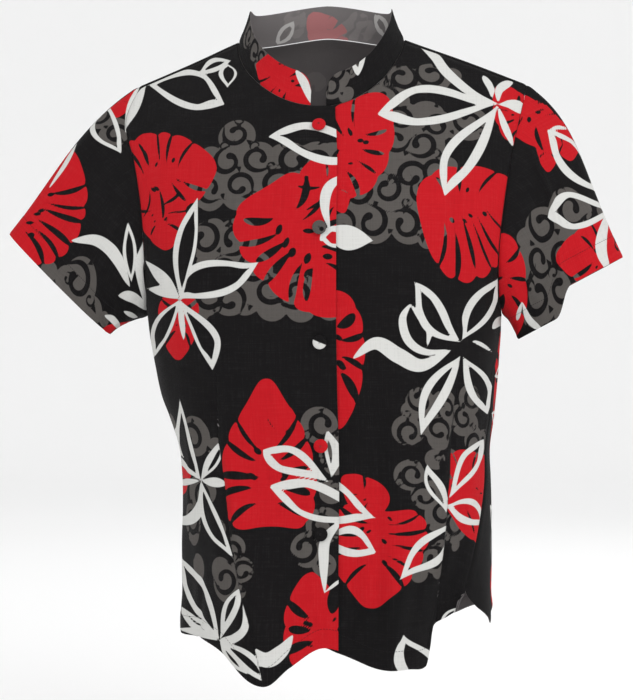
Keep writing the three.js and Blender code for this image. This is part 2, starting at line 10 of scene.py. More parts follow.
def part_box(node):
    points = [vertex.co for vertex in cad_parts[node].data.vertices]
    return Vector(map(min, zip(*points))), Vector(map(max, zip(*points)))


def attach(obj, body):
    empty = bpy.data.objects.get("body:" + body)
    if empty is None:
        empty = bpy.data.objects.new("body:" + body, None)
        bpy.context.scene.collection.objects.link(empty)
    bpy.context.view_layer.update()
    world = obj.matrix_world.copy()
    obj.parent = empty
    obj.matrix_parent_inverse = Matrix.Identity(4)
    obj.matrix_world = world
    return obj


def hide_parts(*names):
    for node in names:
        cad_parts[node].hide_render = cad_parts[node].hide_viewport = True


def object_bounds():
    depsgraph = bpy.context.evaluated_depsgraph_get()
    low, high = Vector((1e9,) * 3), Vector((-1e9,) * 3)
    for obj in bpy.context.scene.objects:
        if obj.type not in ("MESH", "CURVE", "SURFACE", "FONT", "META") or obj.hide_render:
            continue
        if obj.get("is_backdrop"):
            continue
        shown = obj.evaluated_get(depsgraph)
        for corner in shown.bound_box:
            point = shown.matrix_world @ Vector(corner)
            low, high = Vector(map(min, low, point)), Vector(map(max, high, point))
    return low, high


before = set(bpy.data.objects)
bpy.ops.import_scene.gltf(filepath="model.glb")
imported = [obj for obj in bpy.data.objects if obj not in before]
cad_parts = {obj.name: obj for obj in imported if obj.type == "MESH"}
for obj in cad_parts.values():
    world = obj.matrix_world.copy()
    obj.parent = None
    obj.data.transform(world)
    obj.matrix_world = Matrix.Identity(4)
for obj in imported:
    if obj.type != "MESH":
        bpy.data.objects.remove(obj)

bl_info = {
    "name": "Band-collar blouse",
    "version": (1, 0, 0),
    "blender": (4, 5, 0),
    "location": "3D View > Sidebar > Blouse",
    "description": "Makes a printed short-sleeved blouse on its packed frame",
    "category": "Object",
}

# Lengths are millimetres until a mesh is made. +Z is up, the front faces -Y and +X is the
# wearer's left. The origin lies between the neck ends of the two shoulder seams.

MM = 0.001
TINY, HUGE = 1e-9, 1e9
SEAM = 0.3  # gap between two pieces at a seam
WALL = 1.2  # thickness that the frame allows for the cloth
UNDER_GAP = 0.6  # gap between the upper and the lower front
NECK_HALF = 87
NECK_DROP = 77
NECK_SWAY = -5
NECK_SWAY_WIDE = 45
CENTRE_REACH = 120  # the sway of the centre line dies out this far to each side
BACK_NECK_DROP = 17
RIDGE_RISE = 26
NECK_RISE = 1.6
NECK_ROUND = 1.25
SHOULDER_HALF = {-1: 198, 1: 207}  # from the centre to each sleeve seam
SHOULDER_FALL = 0.4
SEAM_FORWARD = 2.5
ARMPIT_Z = -285
CHEST_RISE, CHEST_CURVE = 240, 0.8
BLADE_RISE, BLADE_CURVE = 180, 0.56
LAP = 17  # the upper front runs this far past the button line
UNDERLAP = 16
LAP_STEP = (18, 44)  # distances from the centre between which the lower front comes up level
LAP_FADE = (20, 46)  # distances from the centre between which the fronts' creases grow
LAP_CREASED = 0.1  # share of the creases that is left where the fronts lie on each other
SLIT_TOP = -564
SLIT_OPEN = -600  # below this height a slit is at its widest
SLIT_FREED = -606  # below this height the tuck over a slit is gone from the back
SLIT_FRONT = {-1: 10, 1: 6}  # how far each edge of a slit has opened at the hem
SLIT_BACK = {-1: 3, 1: 52}
TURN_EASE = 0.55
CUFF_DROP, CUFF_RISE = (84, 112), (195, 240)  # degrees round a cuff between which its edge steps
CUFF_LEVEL = 0.45  # share of the step that lies above the cuff's middle
COLLAR_HEIGHT = 34
COLLAR_CORNER = 18
COLLAR_END = 8
COLLAR_TURN = 13  # distance from the collar's end at which its lean starts to grow
COLLAR_EASE = 0.25  # share of its lean that the collar loses at the top
BUTTON_RADIUS = 7
BUTTON_HEIGHTS = (-99, -202, -314, -416, -504)
NECK_SHARE = 0.5  # of a panel's columns, the share that ends at the neckline
HEM_SECTION = -600  # the section at this height spaces a panel's columns along the hem
FOLD_SECTION = -500  # the section at this height places the folds and tucks
SEAM_PULL = 14  # how far in from a side seam the cloth gives when it is sewn
STEEPEST = 0.6  # where the cloth turns past upright, its slope is taken as this
NO_EDGE = 99.0  # the distance from a seam or hem where there is none
EVEN_ENDS = (0.35, 0.35)

QUARTER_STEPS = 64
LAP_COLUMNS = 9
COLUMNS = 132  # from a centre line to a side seam
LOW_ROWS = 159  # from the hem to the armpit
HIGH_ROWS = 141  # from the armpit to the shoulder
SLEEVE_ROWS = 81
COLLAR_COLUMNS = 300
COLLAR_ROWS = 21
INNER_STEP = 3  # the inside of the cloth takes every third row and column

VIEW_TURN = 5.5  # degrees that the viewer stands round to the wearer's left
LEFT_SIDE, BEHIND, RIGHT_SIDE = 90, 180, 270  # the other sides that the print is laid out from
VIEW_DISTANCE = 2000
VIEW_HEIGHT = -322
VIEW_ASIDE = 10.9  # the viewer's aim passes this far to the side of the origin
NEIGHBOURS = 8  # points that share in turning a place as seen into a place on the cloth
NEAR_FLAT = 20  # points further apart than this on the flat cloth aren't neighbours
FAR = 6.0  # a printed shape's edge is followed this far out
INKS = ("grey", "red", "outer", "inner")
STRAY = 0.012  # metres that a piece may lie away from its solid

STITCH_LENGTH = 0.0028
THREAD_PITCH = 0.00052
WORN = (0.3, 0.29, 0.29, 1)
SHADE = (0.006, 0.005, 0.006, 1)
WRONG_SIDE = (0.26, 0.24, 0.24, 1)
HEM_THREAD = (0.012, 0.011, 0.012, 1)


def smooth(start, end, value):
    t = np.clip((value - start) / (end - start), 0, 1)
    return t * t * (3 - 2 * t)


def mix(a, b, t):
    return a + (b - a) * t


def unit(v):
    return v / np.maximum(np.linalg.norm(v, axis=-1, keepdims=True), TINY)


class Table:
    """Rows of named columns, read on a smooth curve through the rows. The first column is the key."""

    def __init__(self, names, *rows):
        self.columns = dict(zip(names.split(), np.array(rows, float).T))
        self.key = self.columns[names.split()[0]]

    def __call__(self, name, at):
        column, key = self.columns[name], self.key
        ahead = np.append(np.arange(1, len(key)), len(key) - 1)
        behind = np.insert(np.arange(len(key) - 1), 0, 0)
        slope = (column[ahead] - column[behind]) / (key[ahead] - key[behind])
        at = np.clip(at, key[0], key[-1])
        i = np.clip(np.searchsorted(key, at, side="right") - 1, 0, len(key) - 2)
        span = key[i + 1] - key[i]
        t = (at - key[i]) / span
        rise = column[i + 1] - column[i]
        bend = (1 - t) * (slope[i] * span - rise) + t * (rise - slope[i + 1] * span)
        return column[i] + t * rise + t * (1 - t) * bend


# ---- the cut -------------------------------------------------------------------------------

TRUNK = Table(
    "z half shift front back front_power back_power",
    (-660, 164, 8, 112, 102, 2.7, 2.4),
    (-600, 164, 9, 112, 102, 2.7, 2.4),
    (-525, 163, 9, 110, 102, 2.7, 2.4),
    (-484, 161, 10, 108, 100, 2.7, 2.4),
    (-452, 160, 10, 108, 98, 2.7, 2.4),
    (-421, 161, 8, 110, 97, 2.6, 2.4),
    (-390, 168, 5, 114, 98, 2.5, 2.4),
    (-369, 173, 2, 117, 100, 2.4, 2.4),
    (-338, 178, 0, 121, 103, 2.3, 2.3),
    (-307, 182, -2, 124, 106, 2.3, 2.3),
    (-285, 184, -3, 125, 107, 2.3, 2.3),
    (-262, 188, -2, 126, 108, 2.3, 2.3),
    (-225, 200, -1, 126, 108, 2.3, 2.3),
    (-176, 213, 0, 123, 108, 2.3, 2.3),
    (-130, 224, 0, 119, 107, 2.3, 2.3),
    (-88, 233, 0, 113, 106, 2.3, 2.3),
    (-47, 240, 0, 109, 105, 2.3, 2.3),
    (30, 250, 0, 106, 105, 2.3, 2.3),
)
CENTRE = Table("z x", (-660, 3.5), (-140, 3.5), (-70, -2), (30, -3))  # where the centre line runs
ARMHOLE_FRONT = Table(
    "t right left z",
    (0, 184, 184, -285),
    (0.08, 181.5, 180.5, -268),
    (0.25, 181, 179.5, -228),
    (0.46, 186, 183.5, -178),
    (0.66, 196, 190.5, -130),
    (0.84, 209, 199, -87),
    (1, 198, 207, -49.7),
)
ARMHOLE_BACK = Table(
    "t right left z",
    (0, 184, 184, -285),
    (0.08, 184, 184, -267),
    (0.25, 186, 186, -226),
    (0.46, 190, 190, -176),
    (0.66, 197, 195, -128),
    (0.84, 204, 201, -84),
    (1, 198, 207, -44.7),
)
SIDE_SEAMS = Table(
    "z right left",
    (-600, 3, 86),
    (-564, 3, 82),
    (-540, 3, 71),
    (-500, 2, 58),
    (-440, 2, 42),
    (-400, 1, 38),
    (-350, 1, 32),
    (-320, 0, 20),
    (-290, 0, 4),
)
HEM_FRONT = Table(
    "at z",
    (-262, -616),
    (-200, -614),
    (-150, -613),
    (-112, -622),
    (-58, -652),
    (-33, -635),
    (0, -616),
    (28, -621),
    (56, -628),
    (92, -635),
    (140, -636),
    (174, -635),
    (182, -620),
    (191, -598),
    (214, -588),
    (232, -581),
)
HEM_BACK = Table(
    "at z",
    (-262, -611),
    (-170, -617),
    (-90, -622),
    (0, -618),
    (68, -618),
    (110, -604),
    (150, -588),
    (196, -588),
    (215, -597),
    (232, -606),
)
COLLAR_LEAN = Table("place lean", (0, 0.34), (0.28, 0.36), (0.62, 0.52), (1, 0.14))
# The largest folds: at, sway, top, foot, wide, rise.
FOLDS_FRONT = (
    (-122, 54, -330, -625, 30, 22),
    (-178, 10, -400, -620, 34, -12),
    (132, -24, -330, -620, 24, 9),
    (52, -6, -340, -560, 20, -6),
    (192, 0, -470, -612, 34, -16),
)
FOLDS_BACK = (
    (-105, -8, -380, -620, 34, 9),
    (-45, 4, -420, -620, 28, -7),
    (60, 12, -360, -620, 36, 10),
    (128, 4, -430, -620, 28, -8),
)
TUCKS = {-1: (-440, -560, 36, -3), 1: (-450, -566, 30, -5)}  # top, foot, wide, rise
SLEEVES = {
    "sleeve_right": dict(
        side=-1, cuff=(280, -14, -253), long=75, short=22, slope=44.6,
        leave=(0.87, -0.03, -0.5), reach=(0.62, 0, -0.78), step=0,
    ),
    "sleeve_left": dict(
        side=1, cuff=(251, -12, -268), long=66, short=29, slope=28,
        leave=(0.84, -0.04, -0.55), reach=(0.46, 0, -0.89), step=24,
    ),
}


def ridge(x):
    """Height of the line over the shoulders."""
    out = np.abs(x)
    inside = RIDGE_RISE * (1 - (np.minimum(out, NECK_HALF) / NECK_HALF) ** NECK_RISE)
    return np.where(out < NECK_HALF, inside, -SHOULDER_FALL * (out - NECK_HALF))


def depth(x, z, face):
    """How far the trunk's surface lies in front of or behind its middle plane."""
    name, rise, curve = ("front", CHEST_RISE, CHEST_CURVE)
    if face > 0:
        name, rise, curve = ("back", BLADE_RISE, BLADE_CURVE)
    power = TRUNK(name + "_power", z)
    share = np.minimum(1, np.abs(x) / TRUNK("half", z))
    round_ = (1 - share**power) ** (1 / power)
    below = np.clip((ridge(x) - z) / rise, 0, 1)
    return face * TRUNK(name, z) * round_ * np.sin(np.pi / 2 * below**curve)


def quarter(z, face):
    """A quarter of the section at each height, from the centre line to the side: x, y, distance."""
    z = np.asarray(z, float)[..., None]
    turn = np.linspace(0, np.pi / 2, QUARTER_STEPS + 1)
    name = "front" if face < 0 else "back"
    power = 2 / TRUNK(name + "_power", z)
    x = TRUNK("half", z) * np.sin(turn) ** power
    y = face * TRUNK(name, z) * np.maximum(np.cos(turn), 0) ** power
    along = np.cumsum(np.hypot(np.diff(x), np.diff(y)), axis=-1)
    return x, y, np.concatenate([np.zeros(z.shape), along], axis=-1)


def along_quarter(section, want):
    x, y, along = section
    far = np.abs(want)
    k = np.clip((along < far[..., None]).sum(-1), 1, QUARTER_STEPS)[..., None]
    at, before = (lambda a, i: np.take_along_axis(a, i, -1)[..., 0]), k - 1
    t = (far - at(along, before)) / (at(along, k) - at(along, before))
    return np.sign(want) * mix(at(x, before), at(x, k), t), mix(at(y, before), at(y, k), t)


def around_section(z, face, along):
    """A point at a distance round the section, past the side and onto the other face if need be."""
    own, other = quarter(z, face), quarter(z, -face)
    length, rest = own[2][..., -1], other[2][..., -1]
    over = np.abs(along) > length
    x, y = along_quarter(own, np.where(over, 0, along))
    x2, y2 = along_quarter(other, np.sign(along) * (rest - np.clip(np.abs(along) - length, 0, rest)))
    return np.where(over, x2, x), np.where(over, y2, y)


def quarter_length(z, face):
    return quarter(z, face)[2][..., -1]


def seam_distance(z, side, face):
    """How far round a panel reaches at a height, from its centre line to its side seam."""
    forward = np.where(side < 0, SIDE_SEAMS("right", z), SIDE_SEAMS("left", z))
    slit = SLIT_FRONT if face < 0 else SLIT_BACK
    opened = smooth(SLIT_TOP, SLIT_OPEN, z) * np.where(side < 0, slit[-1], slit[1])
    return quarter_length(z, face) + face * forward - SEAM / 2 - opened


def top_end(out, face, side):
    """Where a column ends at the top: on the neckline, or on the shoulder seam."""
    seam = (-SEAM_FORWARD if face < 0 else SEAM_FORWARD) - SEAM / 2
    turn = np.pi / 2 * np.minimum(out / NECK_SHARE, 1)
    x_neck = NECK_HALF * np.sin(turn)
    if face < 0:
        z_neck = mix(seam, -NECK_DROP, np.cos(turn) ** NECK_ROUND)
    else:
        z_neck = ridge(x_neck) + mix(seam, -BACK_NECK_DROP, np.cos(turn))
    end = np.where(side < 0, SHOULDER_HALF[-1], SHOULDER_HALF[1])
    x_seam = mix(NECK_HALF, end, (out - NECK_SHARE) / (1 - NECK_SHARE))
    at_neck = out <= NECK_SHARE
    return np.where(at_neck, x_neck, x_seam), np.where(at_neck, z_neck, ridge(x_seam) + seam)


def measured(x, z, face, steps=48):
    """Distance along the cloth from the centre line, and height up the cloth from the armpit."""
    share = np.linspace(0, 1, steps + 1)
    across = x[..., None] * share
    bow = depth(across, z[..., None], face)
    u = np.hypot(np.diff(across), np.diff(bow)).sum(-1)
    up = mix(ARMPIT_Z, z[..., None], share)
    lean = depth(x[..., None], up, face)
    rise, sink = np.diff(up), np.abs(np.diff(lean))
    v = np.hypot(rise, np.minimum(sink, STEEPEST * np.abs(rise))).sum(-1)
    return np.sign(x) * u, ARMPIT_Z + v


def panel_points(side, face, across, up, lap):
    """A front or the back before its folds. across runs out from the centre line to 1 at the side
    seam, and on a lap to -1. up runs from the hem to 1 at the armpit and 2 at the shoulder."""
    across, up = np.meshgrid(across, up)
    out, sign = np.abs(across), np.where(across < 0, -1, 1)
    lapped = (across < 0) & (lap > 0)
    hems = HEM_FRONT if face < 0 else HEM_BACK
    points, flat = np.zeros(across.shape + (3,)), np.zeros(across.shape + (2,))

    low = up[:, 0] <= 1
    o, s, lp = out[low], sign[low], lapped[low]
    fixed = np.where(lp, lap * o, quarter_length(HEM_SECTION, face) * o)
    z = mix(hems("z", side * s * fixed), ARMPIT_Z, up[low])
    round_ = s * np.where(lp, fixed, seam_distance(z, side * s, face) * o)
    x, y = around_section(z, face, round_)
    points[low] = np.stack([x, y, z], -1)
    flat[low] = np.stack([round_, z], -1)

    high = ~low
    o, s, lp, t = out[high], sign[high], lapped[high], up[high] - 1
    armpit = [a[None, None, :] + np.zeros(o.shape + (1,)) for a in quarter(ARMPIT_Z, face)]
    end = armpit[2][0, 0, -1] - SEAM / 2
    foot = np.where(lp, lap * o, along_quarter(armpit, end * o)[0])
    reach = along_quarter([a[:1, :1] for a in armpit], np.full((1, 1), end))[0]
    top_x, top_z = top_end(o, face, side * s)
    top_x, top_z = np.where(lp, foot, top_x), np.where(lp, -NECK_DROP, top_z)
    hole = ARMHOLE_FRONT if face < 0 else ARMHOLE_BACK
    pull = np.where(lp, 0, foot / reach)
    right, left = (hole(name, t) - mix(hole(name, 0), hole(name, 1), t) for name in ("right", "left"))
    away_x = np.where(side * s < 0, right, left)
    away_z = hole("z", t) - mix(ARMPIT_Z, hole("z", 1), t)
    x = mix(foot, top_x, t) + pull * away_x
    height = mix(ARMPIT_Z, top_z, t) + pull * away_z
    crest = ridge(x)
    z = np.where(height > crest, 2 * crest - height, height)
    y = np.where(height > crest, depth(x, z, -face), depth(x, z, face))
    points[high] = np.stack([s * x, y, z], -1)
    u, v = measured(x, z, face)
    flat[high] = np.stack([s * u, v + 2 * np.maximum(0, height - crest)], -1)

    x, z = points[..., 0], points[..., 2]
    sway = (CENTRE("x", z) - TRUNK("shift", z)) * np.maximum(0, 1 - np.abs(x) / CENTRE_REACH)
    near_neck = np.exp(-(((np.abs(x) - NECK_HALF) / NECK_SWAY_WIDE) ** 2)) * smooth(-90, -20, z)
    sway += NECK_SWAY * near_neck
    points[..., 0] = side * x + TRUNK("shift", z) + sway
    flat[..., 0] *= side * -face
    return points, flat


def facing(points, loop, flip):
    """Outward direction at each point of a grid."""
    if loop:
        across = np.roll(points, -1, 1) - np.roll(points, 1, 1)
    else:
        across = np.gradient(points, axis=1)
    return unit(np.cross(across, np.gradient(points, axis=0))) * (-1 if flip else 1)


class Cloth:
    """One piece of cloth: its outer points in rows and columns, and its flat coordinates."""

    def __init__(self, name, points, flat, loop=False, flip=False):
        self.name, self.points, self.flat, self.loop, self.flip = name, points, flat, loop, flip
        self.normals = facing(points, loop, flip)
        # Distances from the nearest seam, hem and slit.
        self.seam = self.hem = self.slit = np.full(points.shape[:2], NO_EDGE)
        self.seen = {}

    def move(self, amount):
        self.points = self.points + self.normals * amount[..., None]
        self.normals = facing(self.points, self.loop, self.flip)

    def look(self, turn):
        """What someone who faces that side sees: where each point shows, its flat coordinates,
        and how a small step as seen turns into a step on the cloth."""
        if turn not in self.seen:
            a = math.radians(turn)
            ahead = np.array([-math.sin(a), math.cos(a), 0])
            right = np.array([math.cos(a), math.sin(a), 0])
            apart = self.points - np.array([0, 0, VIEW_HEIGHT])
            nearer = VIEW_DISTANCE / (VIEW_DISTANCE + apart @ ahead)
            place = np.stack([apart @ right * nearer, VIEW_HEIGHT + apart[..., 2] * nearer], -1)
            pu, pv = np.gradient(place, axis=1), np.gradient(place, axis=0)
            fu, fv = np.gradient(self.flat, axis=1), np.gradient(self.flat, axis=0)
            # The turn from seen to flat, without its stretch, so that shapes keep their outlines.
            turned = pu[..., 0] * pv[..., 1] - pu[..., 1] * pv[..., 0]
            col_x = fu * pv[..., 1:] - fv * pu[..., 1:]
            col_y = fv * pu[..., :1] - fu * pv[..., :1]
            hand = np.sign(col_x[..., 0] * col_y[..., 1] - col_x[..., 1] * col_y[..., 0])
            way = np.sign(turned)
            c = way * (col_x[..., 0] + hand * col_y[..., 1])
            d = way * (col_x[..., 1] - hand * col_y[..., 0])
            long = np.maximum(np.hypot(c, d), TINY)
            step = np.stack([c / long, -hand * d / long, d / long, hand * c / long], -1)
            shows = (self.normals @ ahead < -0.05) & (np.abs(fu[..., 0]) < NEAR_FLAT)
            if self.loop:
                half = np.abs(self.flat[..., 0]).max()
                shows &= (1 if turn < 90 else -1) * self.flat[..., 0] > -half / 2
            shows = shows.ravel()
            tree = kdtree.KDTree(int(shows.sum()))
            for k, (x, z) in enumerate(place.reshape(-1, 2)[shows]):
                tree.insert((x, z, 0), k)
            tree.balance()
            keep = lambda grid: grid.reshape(len(shows), -1)[shows]
            self.seen[turn] = tree, keep(place), keep(self.flat), keep(step).reshape(-1, 2, 2)
        return self.seen[turn]

    def at(self, places, turn=VIEW_TURN):
        """Flat coordinates of places given as seen, in millimetres right and up of the origin."""
        tree, shown, flat, step = self.look(turn)
        made = []
        for x, z in np.atleast_2d(places):
            near = tree.find_n((x, z, 0), NEIGHBOURS)
            k = np.array([n[1] for n in near])
            weight = 1 / (np.array([n[2] for n in near]) ** 2 + 1)
            weight = weight * (np.abs(flat[k] - flat[k[0]]).max(1) < NEAR_FLAT)
            spots = flat[k] + np.einsum("kij,kj->ki", step[k], (x, z) - shown[k])
            made.append(weight @ spots / weight.sum())
        return np.array(made)


def edge_distance(points, column):
    """Distance of each point from an end column, measured along its row."""
    steps = np.linalg.norm(np.diff(points, axis=1), axis=-1)
    run = np.concatenate([np.zeros((len(points), 1)), np.cumsum(steps, axis=1)], axis=1)
    return run[:, -1:] - run if column < 0 else run


def row_distance(points, row):
    return edge_distance(points.transpose(1, 0, 2), row).T


def fold_rise(folds, round_, z):
    rise = np.zeros(z.shape)
    for at, sway, top, foot, wide, high in folds:
        grown = smooth(top, foot, z)
        rise += high * grown * np.exp(-(((round_ - at - sway * grown) / wide) ** 2))
    return rise


def tuck_rise(side, face, away, z):
    top, foot, wide, high = TUCKS[side]
    freed = smooth(SLIT_TOP, SLIT_FREED, z) if face > 0 else 0
    return high * smooth(top, foot, z) * (1 - freed) * np.exp(-((away / wide) ** 2))


def share_normals(a, a_edge, b, b_edge):
    both = unit(a.normals[a_edge] + b.normals[b_edge])
    a.normals[a_edge] = both
    b.normals[b_edge] = both


def share_seams(front_right, front_left, back):
    """Two panels turn their edges the same way where they are sewn together."""
    rows = np.arange(LOW_ROWS + 1)
    ends = np.arange(round(COLUMNS * NECK_SHARE), COLUMNS + 1)
    for front, step in ((front_right, -1), (front_left, 1)):
        share_normals(front, (rows, -1), back, (rows, COLUMNS + step * COLUMNS))
        share_normals(front, (-1, LAP_COLUMNS + ends), back, (-1, COLUMNS + step * ends))


def cut_panel(name, side, face, lap, sunk=False):
    columns = np.linspace(0, 1, COLUMNS + 1)
    before = np.linspace(-1, 0, LAP_COLUMNS + 1) if lap else -columns[::-1]
    across = np.concatenate([before[:-1], columns])
    up = np.concatenate([np.linspace(0, 1, LOW_ROWS + 1), np.linspace(1, 2, HIGH_ROWS + 1)[1:]])
    points, flat = panel_points(side, face, across, up, lap)
    cloth = Cloth(name, points, flat, flip=side * face > 0)
    cloth.side, cloth.face, cloth.sunk = side, face, sunk
    cloth.reach = quarter_length(FOLD_SECTION, face)
    cloth.round = np.where((across < 0) & (lap > 0), lap * across, cloth.reach * across)[None, :]
    return cloth


def fold_panel(cloth):
    z = cloth.points[..., 2]
    round_ = cloth.round + np.zeros(z.shape)
    side = cloth.side * np.where(round_ < 0, -1, 1)
    folds = FOLDS_FRONT if cloth.face < 0 else FOLDS_BACK
    rise = fold_rise(folds, cloth.side * round_, z)
    for way in (-1, 1):
        tuck = tuck_rise(way, cloth.face, cloth.reach - np.abs(round_), z)
        rise += np.where(side == way, tuck, 0)
    if cloth.sunk:
        rise -= (WALL + UNDER_GAP) * (1 - smooth(*LAP_STEP, round_))
    cloth.move(rise)


def sew_sides(fronts, back):
    """Brings the two edges of each side seam together, down to the slit."""
    for front, step in zip(fronts, (-1, 1)):
        rows = slice(0, LOW_ROWS + 1)
        column = COLUMNS + step * COLUMNS
        sewn = smooth(SLIT_TOP - 6, SLIT_TOP + 12, front.points[rows, -1, 2])[:, None]
        middle = (front.points[rows, -1] + back.points[rows, column]) / 2
        for cloth, edge in ((front, -1), (back, column)):
            pull = (middle - cloth.points[rows, edge]) * sewn
            away = edge_distance(cloth.points, -1 if edge else 0)[rows]
            share = np.exp(-((away / SEAM_PULL) ** 2))[..., None]
            cloth.points[rows] += pull[:, None, :] * share


def measure_edges(fronts, back):
    """Distances from seams and hems on the trunk's panels."""
    for cloth in (*fronts, back):
        side = edge_distance(cloth.points, -1)
        if cloth is back:
            side = np.minimum(side, edge_distance(cloth.points, 0))
        open_ = cloth.points[..., 2] < SLIT_TOP
        cloth.slit = np.where(open_, side, NO_EDGE)
        cloth.seam = np.minimum(np.where(open_, NO_EDGE, side), row_distance(cloth.points, -1))
        cloth.hem = row_distance(cloth.points, 0)


# ---- creases -------------------------------------------------------------------------------


def line_distance(flat, line):
    """Signed distance from a line of points, and how far along it each place lies, from 0 to 1."""
    flat = flat.reshape(-1, 2)
    best, signed, along = np.full(len(flat), HUGE), np.zeros(len(flat)), np.zeros(len(flat))
    lengths = np.linalg.norm(np.diff(line, axis=0), axis=1)
    starts = np.concatenate([[0], np.cumsum(lengths)])
    for k, length in enumerate(lengths):
        way = (line[k + 1] - line[k]) / length
        apart = flat - line[k]
        t = np.clip(apart @ way, 0, length)
        off = apart - t[:, None] * way
        far = np.hypot(*off.T)
        nearer = far < best
        best = np.where(nearer, far, best)
        turned = np.sign(way[0] * apart[:, 1] - way[1] * apart[:, 0])
        signed = np.where(nearer, far * turned, signed)
        along = np.where(nearer, (starts[k] + t) / starts[-1], along)
    return signed, along


def crease(cloth, places, wide, rise, turn, ends=EVEN_ENDS):
    """Height of one soft trough or ridge."""
    line = cloth.at(places, turn)
    away, along = line_distance(cloth.flat, line)
    taper = smooth(0, ends[0], along) * smooth(0, ends[1], 1 - along)
    return (rise * np.exp(-((away / wide) ** 2)) * taper).reshape(cloth.points.shape[:2])


def ripple(cloth, seed, size, rise):
    """Low swells of uneven length all over a piece."""
    random = np.random.default_rng(seed)
    total = np.zeros(cloth.points.shape[:2])
    for _ in range(7):
        turn = random.uniform(0, np.pi)
        pitch = size * random.uniform(0.7, 1.6)
        wave = np.cos(turn) * cloth.flat[..., 0] + 0.55 * np.sin(turn) * cloth.flat[..., 1]
        total += np.sin(2 * np.pi * wave / pitch + random.uniform(0, 2 * np.pi))
    return rise * total / 7**0.5


DARTS = dict(
    front_right=[(-116, -311), (-115, -418), (-103, -516), (-92, -575), (-78, -625), (-62, -690)],
    front_left=[(142, -300), (135, -362), (130, -410), (126, -470), (122, -530), (117, -571), (116, -650)],
)


